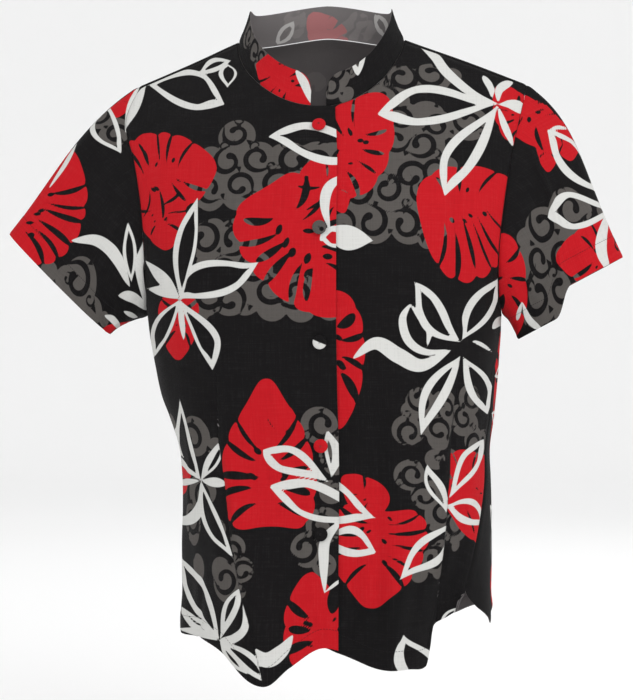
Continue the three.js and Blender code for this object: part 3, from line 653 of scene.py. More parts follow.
# The small creases of each piece, by the side they are seen from: places, width, height and, where
# they differ from EVEN_ENDS, the shares of the length over which the two ends fade.
CREASES = {
    "front_right": {
        VIEW_TURN: [
            (DARTS["front_right"], 4.2, -2.0, (0.3, 0.02)),
            ([(-121, -330), (-121, -420), (-110, -516), (-98, -590)], 9, -2.2, (0.4, 0.1)),
            ([(-108, -350), (-107, -430), (-94, -520), (-78, -600)], 8, 1.4, (0.4, 0.1)),
            ([(-55, -338), (-20, -336), (9, -338)], 3.2, -0.9),
            ([(-176, -342), (-150, -340), (-118, -343)], 3.2, -0.9),
            ([(-150, -120), (-128, -180), (-118, -262)], 15, -1.9),
            ([(-162, -205), (-130, -262), (-86, -300)], 13, 1.8),
            ([(-166, -282), (-124, -310), (-70, -318)], 11, -1.6),
            ([(-60, -300), (-50, -400), (-54, -500), (-38, -596)], 16, 1.6),
            ([(-26, -360), (-20, -450), (-26, -560)], 12, -1.3),
            ([(-92, -60), (-66, -130), (-52, -210)], 17, -1.5),
            ([(-38, -96), (-12, -140), (0, -186)], 8, -0.8),
            ([(-10, -200), (-32, -250), (-36, -300)], 9, 0.9),
            ([(-150, -380), (-142, -440), (-146, -520)], 9, 1.5),
            ([(-136, -520), (-132, -575), (-136, -622)], 8, -1.8, (0.4, 0.02)),
        ],
    },
    "front_left": {
        VIEW_TURN: [
            (DARTS["front_left"], 4.2, -1.8, (0.3, 0.02)),
            ([(150, -320), (142, -400), (138, -470), (134, -560)], 9, -1.8, (0.4, 0.1)),
            ([(128, -330), (120, -410), (116, -480), (108, -580)], 9, 1.5, (0.4, 0.05)),
            ([(57, -345), (56, -420), (52, -500), (50, -632)], 7, -1.9, (0.3, 0.02)),
            ([(72, -360), (72, -450), (70, -540), (72, -630)], 10, 1.6, (0.35, 0.02)),
            ([(134, -126), (134, -190), (134, -262)], 5, -1.5),
            ([(168, -150), (150, -215), (140, -280)], 13, 1.5),
            ([(168, -268), (140, -292), (96, -306)], 11, -1.7),
            ([(60, -60), (78, -140), (84, -230)], 18, -1.6),
            ([(30, -260), (34, -340), (30, -430)], 14, 1.1),
            ([(22, -340), (44, -337), (62, -340)], 3.2, -0.8),
            ([(20, -190), (40, -240), (62, -270)], 12, -1.0),
            ([(92, -330), (96, -420), (92, -520), (94, -610)], 10, -1.2, (0.4, 0.02)),
        ],
    },
    "back": {
        BEHIND: [
            ([(-96, -300), (-92, -380), (-84, -470), (-86, -560)], 8, -2.0),
            ([(92, -290), (86, -370), (82, -460), (86, -550)], 8, -2.0),
            ([(-40, -330), (-44, -420), (-30, -520), (-36, -622)], 15, 1.9, (0.4, 0.02)),
            ([(20, -350), (28, -450), (16, -540), (22, -622)], 13, -1.8, (0.4, 0.02)),
            ([(58, -380), (52, -470), (56, -560), (50, -622)], 14, 1.6, (0.4, 0.02)),
            ([(-120, -400), (-124, -500), (-116, -615)], 12, 1.6, (0.4, 0.02)),
            ([(124, -420), (120, -500), (126, -612)], 12, -1.8, (0.4, 0.02)),
            ([(-150, -120), (-120, -190), (-96, -270)], 17, 2.2),
            ([(150, -126), (126, -190), (92, -250)], 17, 2.0),
            ([(-70, -70), (-84, -150), (-70, -230)], 20, -1.8),
            ([(66, -64), (84, -140), (66, -220)], 20, -1.8),
            ([(-60, -338), (0, -334), (58, -339)], 3.4, -0.9),
            ([(-150, -340), (-122, -342), (-92, -339)], 3.4, -0.8),
            ([(-168, -260), (-120, -285), (-60, -300)], 13, -1.5),
            ([(168, -262), (124, -290), (70, -296)], 13, -1.4),
        ],
    },
    "sleeve_left": {
        VIEW_TURN: [
            ([(246, -262), (241, -198), (217, -130), (206, -96)], 4, 2.6, (0.1, 0.4)),
            ([(232, -270), (226, -205), (204, -140)], 9, -3.0, (0.1, 0.4)),
            ([(188, -250), (206, -262), (222, -296)], 8, -2.0),
            ([(262, -170), (268, -215), (282, -262)], 10, 1.5, (0.4, 0.05)),
            ([(196, -296), (204, -310), (214, -334)], 6, 1.4, (0.3, 0.05)),
        ],
        BEHIND: [
            ([(-250, -250), (-226, -190), (-206, -120)], 12, -2.2),
            ([(-222, -280), (-208, -210)], 9, 1.8),
        ],
    },
    "sleeve_right": {
        VIEW_TURN: [
            ([(-196, -150), (-226, -226), (-262, -296)], 14, 1.8, (0.4, 0.05)),
            ([(-190, -250), (-214, -268), (-232, -300)], 8, -1.8, (0.4, 0.05)),
            ([(-222, -110), (-262, -160), (-300, -222)], 16, -1.6, (0.4, 0.05)),
            ([(-196, -200), (-222, -216), (-236, -226)], 7, -1.2),
        ],
        BEHIND: [
            ([(206, -120), (250, -190), (296, -262)], 15, 2.0, (0.4, 0.05)),
            ([(190, -210), (214, -246), (240, -296)], 9, -2.0, (0.4, 0.05)),
        ],
    },
}


# The low swells over each kind of piece: seed, size and rise.
BODY_RIPPLES = ((0, 95, 0.55), (10, 38, 0.16))
SLEEVE_RIPPLES = ((20, 80, 0.6),)
COLLAR_RIPPLES = ((30, 60, 0.35),)
BODY_FADE, SLEEVE_FADE, COLLAR_FADE = 16, 18, 12  # they die out over this distance from a seam


def small_rise(cloth, seed, ripples):
    """Height of all the small creases of a piece, and of the low swells over them."""
    total = 0
    for turn, folds in CREASES.get(cloth.name, {}).items():
        for places, wide, rise, *ends in folds:
            total = total + crease(cloth, places, wide, rise, turn, *ends)
    for start, size, rise in ripples:
        total = total + ripple(cloth, seed + start, size, rise)
    return total


# ---- sleeves and collar --------------------------------------------------------------------


def spacing(turn):
    """How far up the armhole a share of the sleeve's half turn lies. Turns are slow at both ends."""
    return turn - TURN_EASE * np.sin(2 * np.pi * turn) / (2 * np.pi)


def armhole(front, back, side):
    """The sleeve seam as one loop: down the front from the shoulder, and up the back."""
    edge = 0 if side < 0 else -1
    rows = slice(LOW_ROWS, LOW_ROWS + HIGH_ROWS + 1)
    points = [front.points[rows, -1][::-1], back.points[rows, edge]]
    normals = [front.normals[rows, -1][::-1], back.normals[rows, edge]]
    loop, out = [], []
    for grid, made in ((points, loop), (normals, out)):
        top = (grid[0][0] + grid[1][-1]) / 2
        under = (grid[0][-1] + grid[1][0]) / 2
        made.extend([top, *grid[0][1:-1], under, *grid[1][1:-1]])
    shares = np.linspace(0, 1, 400)
    steps = np.interp(np.linspace(0, 1, HIGH_ROWS + 1), spacing(shares), shares)
    turn = np.pi * np.concatenate([1 - steps[::-1], (1 + steps)[1:-1]])
    return np.array(loop), unit(np.array(out)), turn


def cut_sleeve(name, front, back):
    plan = SLEEVES[name]
    side = plan["side"]
    seam, outward, turn = armhole(front, back, side)
    slope = math.radians(plan["slope"])
    across = np.array([side, 1, 1])
    long = np.array([side * math.cos(slope), 0, math.sin(slope)])
    leave, reach = unit(np.array(plan["leave"]) * across), unit(np.array(plan["reach"]) * across)
    run = np.roll(seam, -1, 0) - np.roll(seam, 1, 0)
    starts = seam - side * SEAM * unit(np.cross(run, outward))
    degrees = np.degrees(turn)
    stepped = smooth(*CUFF_DROP, degrees) * (1 - smooth(*CUFF_RISE, degrees))
    drop = plan["step"] * (stepped - CUFF_LEVEL)
    ends = (
        np.array(plan["cuff"]) * across
        + plan["long"] * np.cos(turn)[:, None] * long
        - plan["short"] * np.sin(turn)[:, None] * np.array([0, 1, 0])
        + drop[:, None] * reach
    )
    t = np.linspace(0, 1, SLEEVE_ROWS + 1)[:, None, None]
    length = np.linalg.norm(ends - starts, axis=1)[None, :, None]
    points = (
        (2 * t**3 - 3 * t**2 + 1) * starts
        + (t**3 - 2 * t**2 + t) * length * leave
        + (3 * t**2 - 2 * t**3) * ends
        + (t**3 - t**2) * length * reach
    )
    ring = np.concatenate([points, points[:, :1]], axis=1)
    axis = unit(np.array(plan["cuff"]) * across - seam.mean(0))
    full = edge_distance(ring - (ring @ axis)[..., None] * axis, 0)
    around = np.where(np.arange(len(seam)) > len(seam) // 2, full[:, :-1] - full[:, -1:], full[:, :-1])
    down = row_distance(points, 0)
    cloth = Cloth(name, points, np.stack([around, -(points @ axis)], -1), loop=True, flip=side < 0)
    cloth.seam, cloth.hem = down, row_distance(points, -1)
    return cloth


def cut_collar(front_right, front_left, back):
    """A band that stands on the neckline, from one front round the back to the other."""
    neck = round(COLUMNS * NECK_SHARE)
    ahead = slice(LAP_COLUMNS, LAP_COLUMNS + neck + 1)
    behind = slice(COLUMNS - neck + 1, COLUMNS + neck)
    tops = [(cloth.points[-1], cloth.normals[-1]) for cloth in (front_right, back, front_left)]
    line, outward = (
        np.concatenate([right[ahead], middle[behind], left[ahead][::-1]])
        for right, middle, left in zip(*tops)
    )
    run = np.concatenate([[0], np.cumsum(np.linalg.norm(np.diff(line, axis=0), axis=1))])
    s = np.linspace(COLLAR_END, run[-1] - COLLAR_END, COLLAR_COLUMNS + 1)
    foot = np.stack([np.interp(s, run, line[:, k]) for k in range(3)], -1)
    outward = unit(np.stack([np.interp(s, run, outward[:, k]) for k in range(3)], -1))
    heading = unit(np.gradient(foot, axis=0))
    foot = foot + SEAM * unit(np.cross(heading, outward))
    inward = -unit(np.stack([-heading[:, 1], heading[:, 0], 0 * heading[:, 0]], -1))
    from_end = np.minimum(s - s[0], s[-1] - s)
    corner = np.maximum(0, COLLAR_CORNER - from_end)
    height = COLLAR_HEIGHT - COLLAR_CORNER + np.sqrt(COLLAR_CORNER**2 - corner**2)
    place = np.interp(from_end, [0, COLLAR_TURN, run[neck], s[-1] / 2], COLLAR_LEAN.key)
    t = np.linspace(0, 1, COLLAR_ROWS + 1)[:, None, None]
    lean = COLLAR_LEAN("lean", place)[None, :, None] * (1 - COLLAR_EASE * t)
    up = unit(np.array([0, 0, 1]) + lean * inward)
    points = foot + up * height[None, :, None] * t
    flat = np.stack([np.tile(s - s[-1] / 2, (COLLAR_ROWS + 1, 1)), height * t[..., 0]], -1)
    cloth = Cloth("collar", points, flat, flip=True)
    cloth.seam = row_distance(points, 0)
    return cloth


@functools.lru_cache
def cut():
    """Every piece of cloth, cut, folded and creased."""
    front_right = cut_panel("front_right", -1, -1, LAP)
    front_left = cut_panel("front_left", 1, -1, UNDERLAP, sunk=True)
    back = cut_panel("back", 1, 1, 0)
    fronts = (front_right, front_left)
    share_seams(*fronts, back)
    for cloth in (*fronts, back):
        fold_panel(cloth)
    sew_sides(fronts, back)
    measure_edges(fronts, back)
    strength = bpy.context.scene.blouse_cloth.crease
    for seed, cloth in enumerate((*fronts, back)):
        rise = small_rise(cloth, seed, BODY_RIPPLES)
        if cloth is not back:
            grown = smooth(*LAP_FADE, np.abs(cloth.flat[..., 0]))
            rise = rise * mix(LAP_CREASED, 1, grown)
        cloth.move(strength * rise * smooth(0, BODY_FADE, cloth.seam))
    share_seams(*fronts, back)
    sleeves = [
        cut_sleeve("sleeve_right", front_right, back),
        cut_sleeve("sleeve_left", front_left, back),
    ]
    for seed, cloth in enumerate(sleeves):
        rise = small_rise(cloth, seed, SLEEVE_RIPPLES)
        cloth.move(strength * rise * smooth(0, SLEEVE_FADE, cloth.seam))
    collar = cut_collar(front_right, front_left, back)
    rise = small_rise(collar, 0, COLLAR_RIPPLES)
    collar.move(strength * rise * smooth(0, COLLAR_FADE, collar.seam))
    pieces = (*fronts, back, *sleeves, collar)
    for cloth in pieces:
        finish_edges(cloth)
    return {cloth.name: cloth for cloth in pieces}


STITCH_IN = 1  # the hem's stitches lie this far from the edge that is turned in
HEM_EXTRA = 0.7  # share of the thickness that a turned hem adds


def finish_edges(cloth):
    """Seams sink in, and a turned hem is a little thicker than the cloth above it."""
    plan = bpy.context.scene.blouse_cloth
    hem = (plan.sleeve_hem if cloth.name.startswith("sleeve") else plan.body_hem) / MM
    cloth.stitch = cloth.hem - hem + STITCH_IN
    ditch = -0.8 * np.exp(-((cloth.seam / 1.5) ** 2))
    allowance = 0.25 * smooth(1.5, 4, cloth.seam) * (1 - smooth(9, 11, cloth.seam))
    turned = 0.3 * (1 - smooth(hem - 1.5, hem + 1.0, cloth.hem))
    stitched = -0.35 * np.exp(-((cloth.stitch / 1.2) ** 2))
    rolled = -0.5 * np.exp(-((np.minimum(cloth.hem, cloth.slit) / 1.2) ** 2))
    cloth.move(ditch + allowance + turned + stitched + rolled)
    # Distance from the dart line. The material uses it for the dart's groove and for the painted shade along
    # it.
    cloth.dart = np.full(cloth.hem.shape, FAR)
    if cloth.name in DARTS:
        away, along = line_distance(cloth.flat, cloth.at(DARTS[cloth.name]))
        cloth.dart = (np.abs(away) + 2 * smooth(0.12, 0, along)).reshape(cloth.hem.shape)
    cloth.thick = plan.thickness / MM * (1 + HEM_EXTRA * (1 - smooth(hem - 2, hem, cloth.hem)))


# ---- the print -----------------------------------------------------------------------------


def outline_distance(points, outline):
    """Signed distance from points to a closed outline, negative inside."""
    best, inside = np.full(len(points), HUGE), np.zeros(len(points), bool)
    x, y = points.T
    for (ax, ay), (bx, by) in zip(outline, np.roll(outline, -1, axis=0)):
        dx, dy = bx - ax, by - ay
        t = np.clip(((x - ax) * dx + (y - ay) * dy) / max(dx * dx + dy * dy, TINY), 0, 1)
        best = np.minimum(best, (x - ax - t * dx) ** 2 + (y - ay - t * dy) ** 2)
        if ay != by:
            inside ^= ((ay > y) != (by > y)) & (x < ax + (y - ay) * dx / dy)
    return np.sqrt(best) * np.where(inside, -1, 1)


def stroke_distance(points, path, widths):
    """Distance from a brush stroke of changing width."""
    best = np.full(len(points), HUGE)
    for (x, y), wide in zip(path, widths):
        best = np.minimum(best, np.hypot(points[:, 0] - x, points[:, 1] - y) - wide)
    return best


def ray(turn):
    return np.stack([np.cos(turn), np.sin(turn)], -1)


def swell(t, belly, sharp=2.6):
    """A petal's or blade's width along it: 0 at both ends, and 1 at its belly."""
    p, q = sharp * belly, sharp * (1 - belly)
    return t**p * (1 - t) ** q / (belly**p * (1 - belly) ** q)


def through(places, steps=12):
    """A smooth line through a few places."""
    places = np.array(places, float)
    ends = np.concatenate([[2 * places[0] - places[1]], places, [2 * places[-1] - places[-2]]])
    t = np.linspace(0, 1, steps, endpoint=False)[:, None]
    made = []
    for a, b, c, d in zip(ends, ends[1:], ends[2:], ends[3:]):
        square, cube = a - 2.5 * b + 2 * c - d / 2, 1.5 * (b - c) + (d - a) / 2
        made.append(b + t * (c - a) / 2 + t**2 * square + t**3 * cube)
    return np.concatenate([*made, places[-1:]])


class Spine:
    """Places measured along and to the left of a straight line between two places."""

    def __init__(self, base, tip):
        self.base = np.array(base, float)
        self.length = np.hypot(*(np.array(tip) - self.base))
        self.way = (np.array(tip) - self.base) / self.length
        self.left = np.array([-self.way[1], self.way[0]])

    def __call__(self, along, off):
        return self.base + np.outer(along, self.way) * self.length + np.outer(off, self.left)


class Print:
    """The printed design on one piece, kept as distances that are negative inside each colour.
    Places are given in millimetres, as seen from the side that turn gives."""

    def __init__(self, cloth):
        self.cloth = cloth
        self.flat = cloth.flat.reshape(-1, 2)
        self.layers = {name: np.full(len(self.flat), FAR) for name in (*INKS, "clear")}
        self.turn = VIEW_TURN
        self.limit = None

    def at(self, places):
        return self.cloth.at(places, self.turn)

    def paint(self, layer, shape, outline, *rest, remove=False):
        """Adds a shape to a layer, or takes it away, near where its outline lies."""
        low, high = outline.min(0) - FAR - 4, outline.max(0) + FAR + 4
        near = np.flatnonzero(((self.flat > low) & (self.flat < high)).all(1))
        distance = shape(self.flat[near], outline, *rest)
        if self.limit is not None and not remove:
            distance = np.maximum(distance, self.limit[near])
        field = self.layers[layer]
        if remove:
            field[near] = np.maximum(field[near], -distance)
        else:
            field[near] = np.minimum(field[near], distance)

    def half(self, side):
        """Keeps what follows on one side of the middle of the piece: 1 towards the wearer's left."""
        self.limit = -side * self.flat[:, 0]

    def beside(self, line=None, side=1):
        """Keeps what follows on one side of a line of places, or frees it again."""
        self.limit = None
        if line is not None:
            self.limit = side * line_distance(self.flat, self.at(line))[0]

    def petal(self, base, tip, bulge, pen, belly=0.5, clear=False):
        """Two brush contours from a base to a tip. bulge is how far each lies to the left of the
        straight line, and pen how thick each is; thick pens leave no opening between them."""
        place = Spine(base, tip)
        t = np.linspace(0, 1, 41)
        bellies = belly if isinstance(belly, tuple) else (belly, belly)
        high, low = (far * swell(t, at) for far, at in zip(bulge, bellies))
        outer = self.at(np.concatenate([place(t, high), place(t, low)[::-1]]))
        self.paint("outer", outline_distance, outer)
        if clear:
            self.paint("clear", outline_distance, outer)
        brush = 0.3 + 0.75 * np.sin(np.pi * t**0.9) ** 0.9
        high, low = high - 0.88 * pen[0] * brush, low + 0.88 * pen[1] * brush
        middle, taper = (high + low) / 2, smooth(0.03, 0.2, t) * smooth(0.96, 0.66, t)
        high, low = middle + (high - middle) * taper, middle + (low - middle) * taper
        open_ = (high - low > 0.3) & (t > 0.06) & (t < 0.96)
        if open_.sum() > 3:
            inner = np.concatenate([place(t, high)[open_], place(t, low)[open_][::-1]])
            self.paint("inner", outline_distance, self.at(inner))

    def flower(self, centre, *petals, clear=False):
        for tip, bulge, pen, *rest in petals:
            self.petal(centre, tip, bulge, pen, *rest, clear=clear)

    def blade(self, places, wide, belly=0.5):
        """One filled brush stroke along a smooth line, pointed at both ends."""
        line = through(places)
        t = np.linspace(0, 1, len(line))
        run = unit(np.gradient(line, axis=0))
        off = np.stack([-run[:, 1], run[:, 0]], -1) * (wide / 2 * swell(t, belly, 1.5))[:, None]
        self.paint("outer", outline_distance, self.at(np.concatenate([line + off, (line - off)[::-1]])))

    def leaf(self, base, tip, wide, slits=(5, 5), seed=0, heart=0.15, deep=0.8, pointed=0.07, full=1.0):
        """A split leaf: lobed margins, curved slits that run in towards the midrib, and holes."""
        random = np.random.default_rng(seed)
        place = Spine(base, tip)
        size = place.length
        # The margin of each half, from the tip round to the base.
        turn = np.linspace(0, np.pi, 97)
        along = 0.45 + 0.55 * np.cos(turn) + pointed * np.exp(-((turn / 0.3) ** 2))
        along += heart * np.exp(-(((np.pi - turn) / 0.4) ** 2))
        outline = []
        for spread, count in ((wide[0], slits[0]), (-wide[1], slits[1])):
            marks = np.linspace(0.5, 2.7, count + 1)[:-1] + 1.1 / (count + 1)
            marks += random.uniform(-0.07, 0.07, count)
            gaps = np.interp(turn, [0, *marks, np.pi], np.arange(count + 2))
            lobe = np.abs(np.sin(np.pi * gaps)) ** 0.6
            off = spread * np.sin(turn) ** 0.75 * (1 - 0.2 * np.cos(turn)) * (0.93 + 0.09 * lobe)
            side = place(along, off)
            outline.append(side if spread > 0 else side[::-1])
            for k, mark in enumerate(marks):
                # A slit from its root near the midrib, which may stop short of the margin.
                end = np.array([np.interp(mark, turn, along), np.interp(mark, turn, off) * 1.06])
                near = 1 - deep * random.uniform(0.85, 1.08)
                root = np.array([np.interp(mark, [0.5, 2.8], [0.66, 0.1]), end[1] * near])
                bow = np.array([mix(root[0], end[0], 0.2) + 0.02, mix(root[1], end[1], 0.6)])
                s = np.linspace(0, 1, 30)
                closed = random.random() < 0.28
                reach = s * 0.78 if closed else s
                shares = (1 - reach) ** 2, 2 * reach * (1 - reach), reach**2
                line = sum(w[:, None] * p for w, p in zip(shares, (root, bow, end)))
                half = size * 0.022 * full * random.uniform(0.65, 1.45)
                grown = swell(np.clip(s, 0.01, 0.99), 0.62, 1.7)
                if not closed:
                    grown = np.maximum(grown, 0.55 * smooth(0.5, 0.8, s))
                self.slits.append((self.at(place(line[:, 0], line[:, 1])), half * grown + 0.15))
                # A small hole beside the root.
                if k % 2 == 1 or random.random() < 0.3:
                    spot = root + (np.array([0.09, 0]) if k % 2 else np.array([-0.07, 0]))
                    run = np.linspace(-1, 1, 9) * random.uniform(0.025, 0.04)
                    oval = place(spot[0] + run * 0.6, spot[1] * 1.15 + run * size * np.sign(spread) * 0.8)
                    round_ = 0.02 * size * random.uniform(0.7, 1.3) * np.cos(np.linspace(-1.3, 1.3, 9))
                    self.slits.append((self.at(oval), round_))
        self.paint("red", outline_distance, self.at(np.concatenate(outline)))

    def leaves(self, *plans):
        """Leaves that grow over each other: their slits are opened once all of them are down."""
        self.slits = []
        for base, tip, wide, more in plans:
            self.leaf(base, tip, wide, **more)
        for path, widths in self.slits:
            self.paint("red", stroke_distance, path, widths, remove=True)

    def hook(self, at, start, hand, size, tail=1.0):
        """A dark scroll: a pointed tail, a turn the other way and a curl that ends in a bulb."""
        t = np.linspace(1 - tail, 1, 44)
        step = 5.6 * size * tail / (len(t) - 1)
        bent = hand * (mix(-0.9, 0.95, smooth(0.1, 0.3, t)) + t**3) / size
        path = np.cumsum(ray(start + np.cumsum(bent) * step), axis=0) * step
        path += at - path[t > 0.3].mean(0)
        widths = 0.04 + 0.17 * smooth(1 - tail, 0.45, t)
        widths = widths - 0.05 * smooth(0.6, 0.85, t) + 0.11 * smooth(0.9, 1, t)
        self.paint("grey", stroke_distance, path, widths * size, remove=True)

    def scrolls(self, *blobs, seed=0, size=14.0):
        """A cloud-edged patch of grey, cut by dark hooks, small curls and corners."""
        random = np.random.default_rng(seed)
        spots = [(self.at((x, z))[0], r) for x, z, r in blobs]
        low = np.min([c - r for c, r in spots], axis=0)
        high = np.max([c + r for c, r in spots], axis=0)
        pitch = size * 2.3
        circle = ray(np.linspace(0, 2 * np.pi, 28)[:-1])
        # Hooks lie on a loose grid, and smaller curls or corners between its rows.
        hooks, curls = [], []
        for row, v in enumerate(np.arange(low[1], high[1] + pitch / 2, pitch * 0.87)):
            for u in np.arange(low[0] + (row % 2) * pitch / 2, high[0] + pitch / 2, pitch):
                at = np.array([u, v]) + random.uniform(-0.13, 0.13, 2) * pitch
                if any(np.hypot(*(at - c)) < r for c, r in spots):
                    hooks.append(at)
                curls.append(np.array([u, v + pitch * 0.58]) + random.uniform(-0.05, 0.05, 2) * pitch)
        for at in hooks:
            self.paint("grey", outline_distance, at + size * random.uniform(1.36, 1.5) * circle)
        for at, r in spots:
            self.paint("grey", outline_distance, at + 0.85 * r * circle)
        for at in hooks:
            start, hand = random.uniform(0, 2 * np.pi), random.choice((-1, 1))
            self.hook(at, start, hand, size * random.uniform(0.9, 1.05))
        for at in curls:
            start, kind = random.uniform(0, 2 * np.pi), random.random()
            curled = kind < 0.55
            if curled:
                self.hook(at, start, 1 if kind < 0.3 else -1, size * 0.4, tail=0.8)
            mark = at + size * (0.55 if curled else 0.1) * ray(start)
            corner = mark + size * 0.3 * ray(start + np.array([0, 2.2, 3.8]))
            self.paint("grey", outline_distance, corner, remove=True)

    def fields(self):
        made = dict(self.layers)
        clear = made.pop("clear")
        for name in ("grey", "red"):
            made[name] = np.maximum(made[name], -clear)
        return made


def print_front_right(p):
    dart = [(-116, -280), *DARTS["front_right"]]
    p.scrolls((-122, -120, 14), (-98, -118, 22), (-72, -120, 20), (-46, -122, 20), (-20, -122, 18),
              (6, -118, 16), (-122, -160, 20), (-92, -158, 22), (-66, -156, 20), (-120, -200, 18),
              (-100, -200, 16), (-122, -232, 18), (-96, -240, 18), (-112, -262, 18), (-86, -270, 18),
              (-58, -276, 18), (-28, -278, 17), (2, -276, 17), (-132, -282, 12), seed=3)
    p.beside(dart, -1)
    p.scrolls((0, -412, 14), (8, -440, 14), (4, -470, 14), (-22, -536, 13), (-8, -514, 13), (-4, -546, 14),
              seed=5, size=12.5)
    p.scrolls((-94, -530, 7), (-93, -544, 7), (-92, -574, 8), (-94, -598, 8), seed=6, size=9)
    p.leaves(
        ((-60, -506), (-63, -374), (50, 48), dict(slits=(5, 5), seed=4, pointed=0.17, heart=0.1)),
        ((-56, -430), (-42, -384), (20, 20), dict(slits=(1, 1), seed=4, heart=0)),
        ((14, -650), (-16, -560), (48, 22), dict(slits=(4, 2), seed=5, full=2.0, deep=0.6, heart=0)),
    )
    p.beside(dart, 1)
    p.scrolls((-160, -400, 14), (-136, -404, 14), (-118, -424, 12), (-126, -470, 16), (-140, -512, 16),
              (-116, -510, 14), (-136, -548, 16), (-112, -552, 16), (-100, -580, 12), seed=8)
    p.leaves(
        ((-178, -470), (-150, -420), (22, 26), dict(slits=(3, 3), seed=9)),
    )
    p.beside()
    p.leaves(
        ((-204, -152), (-122, -130), (48, 38), dict(slits=(5, 4), seed=1, heart=0)),
        ((-182, -160), (-168, -214), (30, 20), dict(slits=(3, 2), seed=7, heart=0)),
        ((-152, -262), (-156, -328), (19, 22), dict(slits=(3, 3), seed=2)),
        ((-58, -156), (20, -280), (44, 60), dict(slits=(5, 6), seed=3, heart=0.05, pointed=0.02)),
        ((26, -176), (-22, -128), (34, 32), dict(slits=(3, 4), seed=6, pointed=0.0, heart=0)),
    )
    p.flower((-188, -45), ((-107, -66), (27, -14), (6, 7.5), 0.56), ((-211, -93), (4, -8), (9, 9)))
    p.petal((-104, -24), (-104, -49), (10, -9), (3, 5), 0.4, clear=True)
    p.petal((-134, -34), (-100, -20), (9, -5), (5, 5))
    p.flower(
        (-154, -269),
        ((-136, -161), (15, -8), (6.5, 3.5), (0.5, 0.45)),
        ((-190, -228), (5, -7), (9, 9)),
        ((-72, -230), (26, -17), (8, 8), (0.36, 0.55)),
        ((-120, -343), (21, -4), (8, 3.5), (0.6, 0.5)),
        ((-180, -330), (4, -15), (3.5, 4.5)),
        ((-188, -258), (3, -8), (9, 9)),
        clear=True,
    )
    p.blade([(-154, -269), (-153, -290), (-150, -312)], 6)
    p.petal((50, -112), (-62, -100), (22, -20), (9, 9), (0.42, 0.6))
    p.blade([(16, -140), (1, -153), (-3, -172), (2, -197)], 11, 0.45)
    p.blade([(-8, -208), (2, -200), (16, -198)], 12)
    p.petal((-6, -206), (48, -208), (14, -9), (8, 5), (0.25, 0.3))
    p.beside(dart, -1)
    p.petal((4, -461), (-67, -426), (13, -17), (8.5, 8.5), (0.72, 0.6))
    p.petal((4, -456), (0, -405), (5, -13), (4, 11), (0.62, 0.5))
    p.petal((54, -496), (-61, -464), (22, -18), (7, 10), (0.55, 0.62))
    p.blade([(14, -500), (-2, -520), (-4, -546), (-3, -576)], 11, 0.45)
    p.blade([(-2, -574), (8, -566), (16, -560)], 3.5)
    p.blade([(-92, -627), (-66, -645), (-48, -636), (-36, -619)], 16, 0.45)
    p.beside(dart, 1)
    p.flower(
        (-132, -458),
        ((-155, -372), (15, -2), (4.5, 3.5), (0.42, 0.5)),
        ((-108, -412), (6, -7), (6.5, 3)),
        ((-99, -540), (2, -15), (4, 4.5)),
        ((-162, -420), (5, -5), (5, 4)),
        ((-160, -462), (3, -4), (8, 8)),
        ((-104, -462), (5, -5), (8, 8)),
        clear=True,
    )
    p.blade([(-132, -460), (-132, -482), (-142, -498), (-160, -500)], 11, 0.6)
    p.flower(
        (-112, -625),
        ((-154, -535), (12, -10), (5, 6), (0.5, 0.5)),
        ((-92, -570), (9, -7), (5, 7), (0.6, 0.6)),
        ((-156, -586), (9, -2), (6, 4)),
        ((-156, -612), (2, -6), (6, 6)),
        ((-60, -672), (12, -6), (6, 6)),
        ((-84, -660), (4, -8), (5, 5)),
        clear=True,
    )
    p.blade([(-112, -625), (-96, -622), (-86, -608), (-90, -572)], 9, 0.35)
    p.beside()


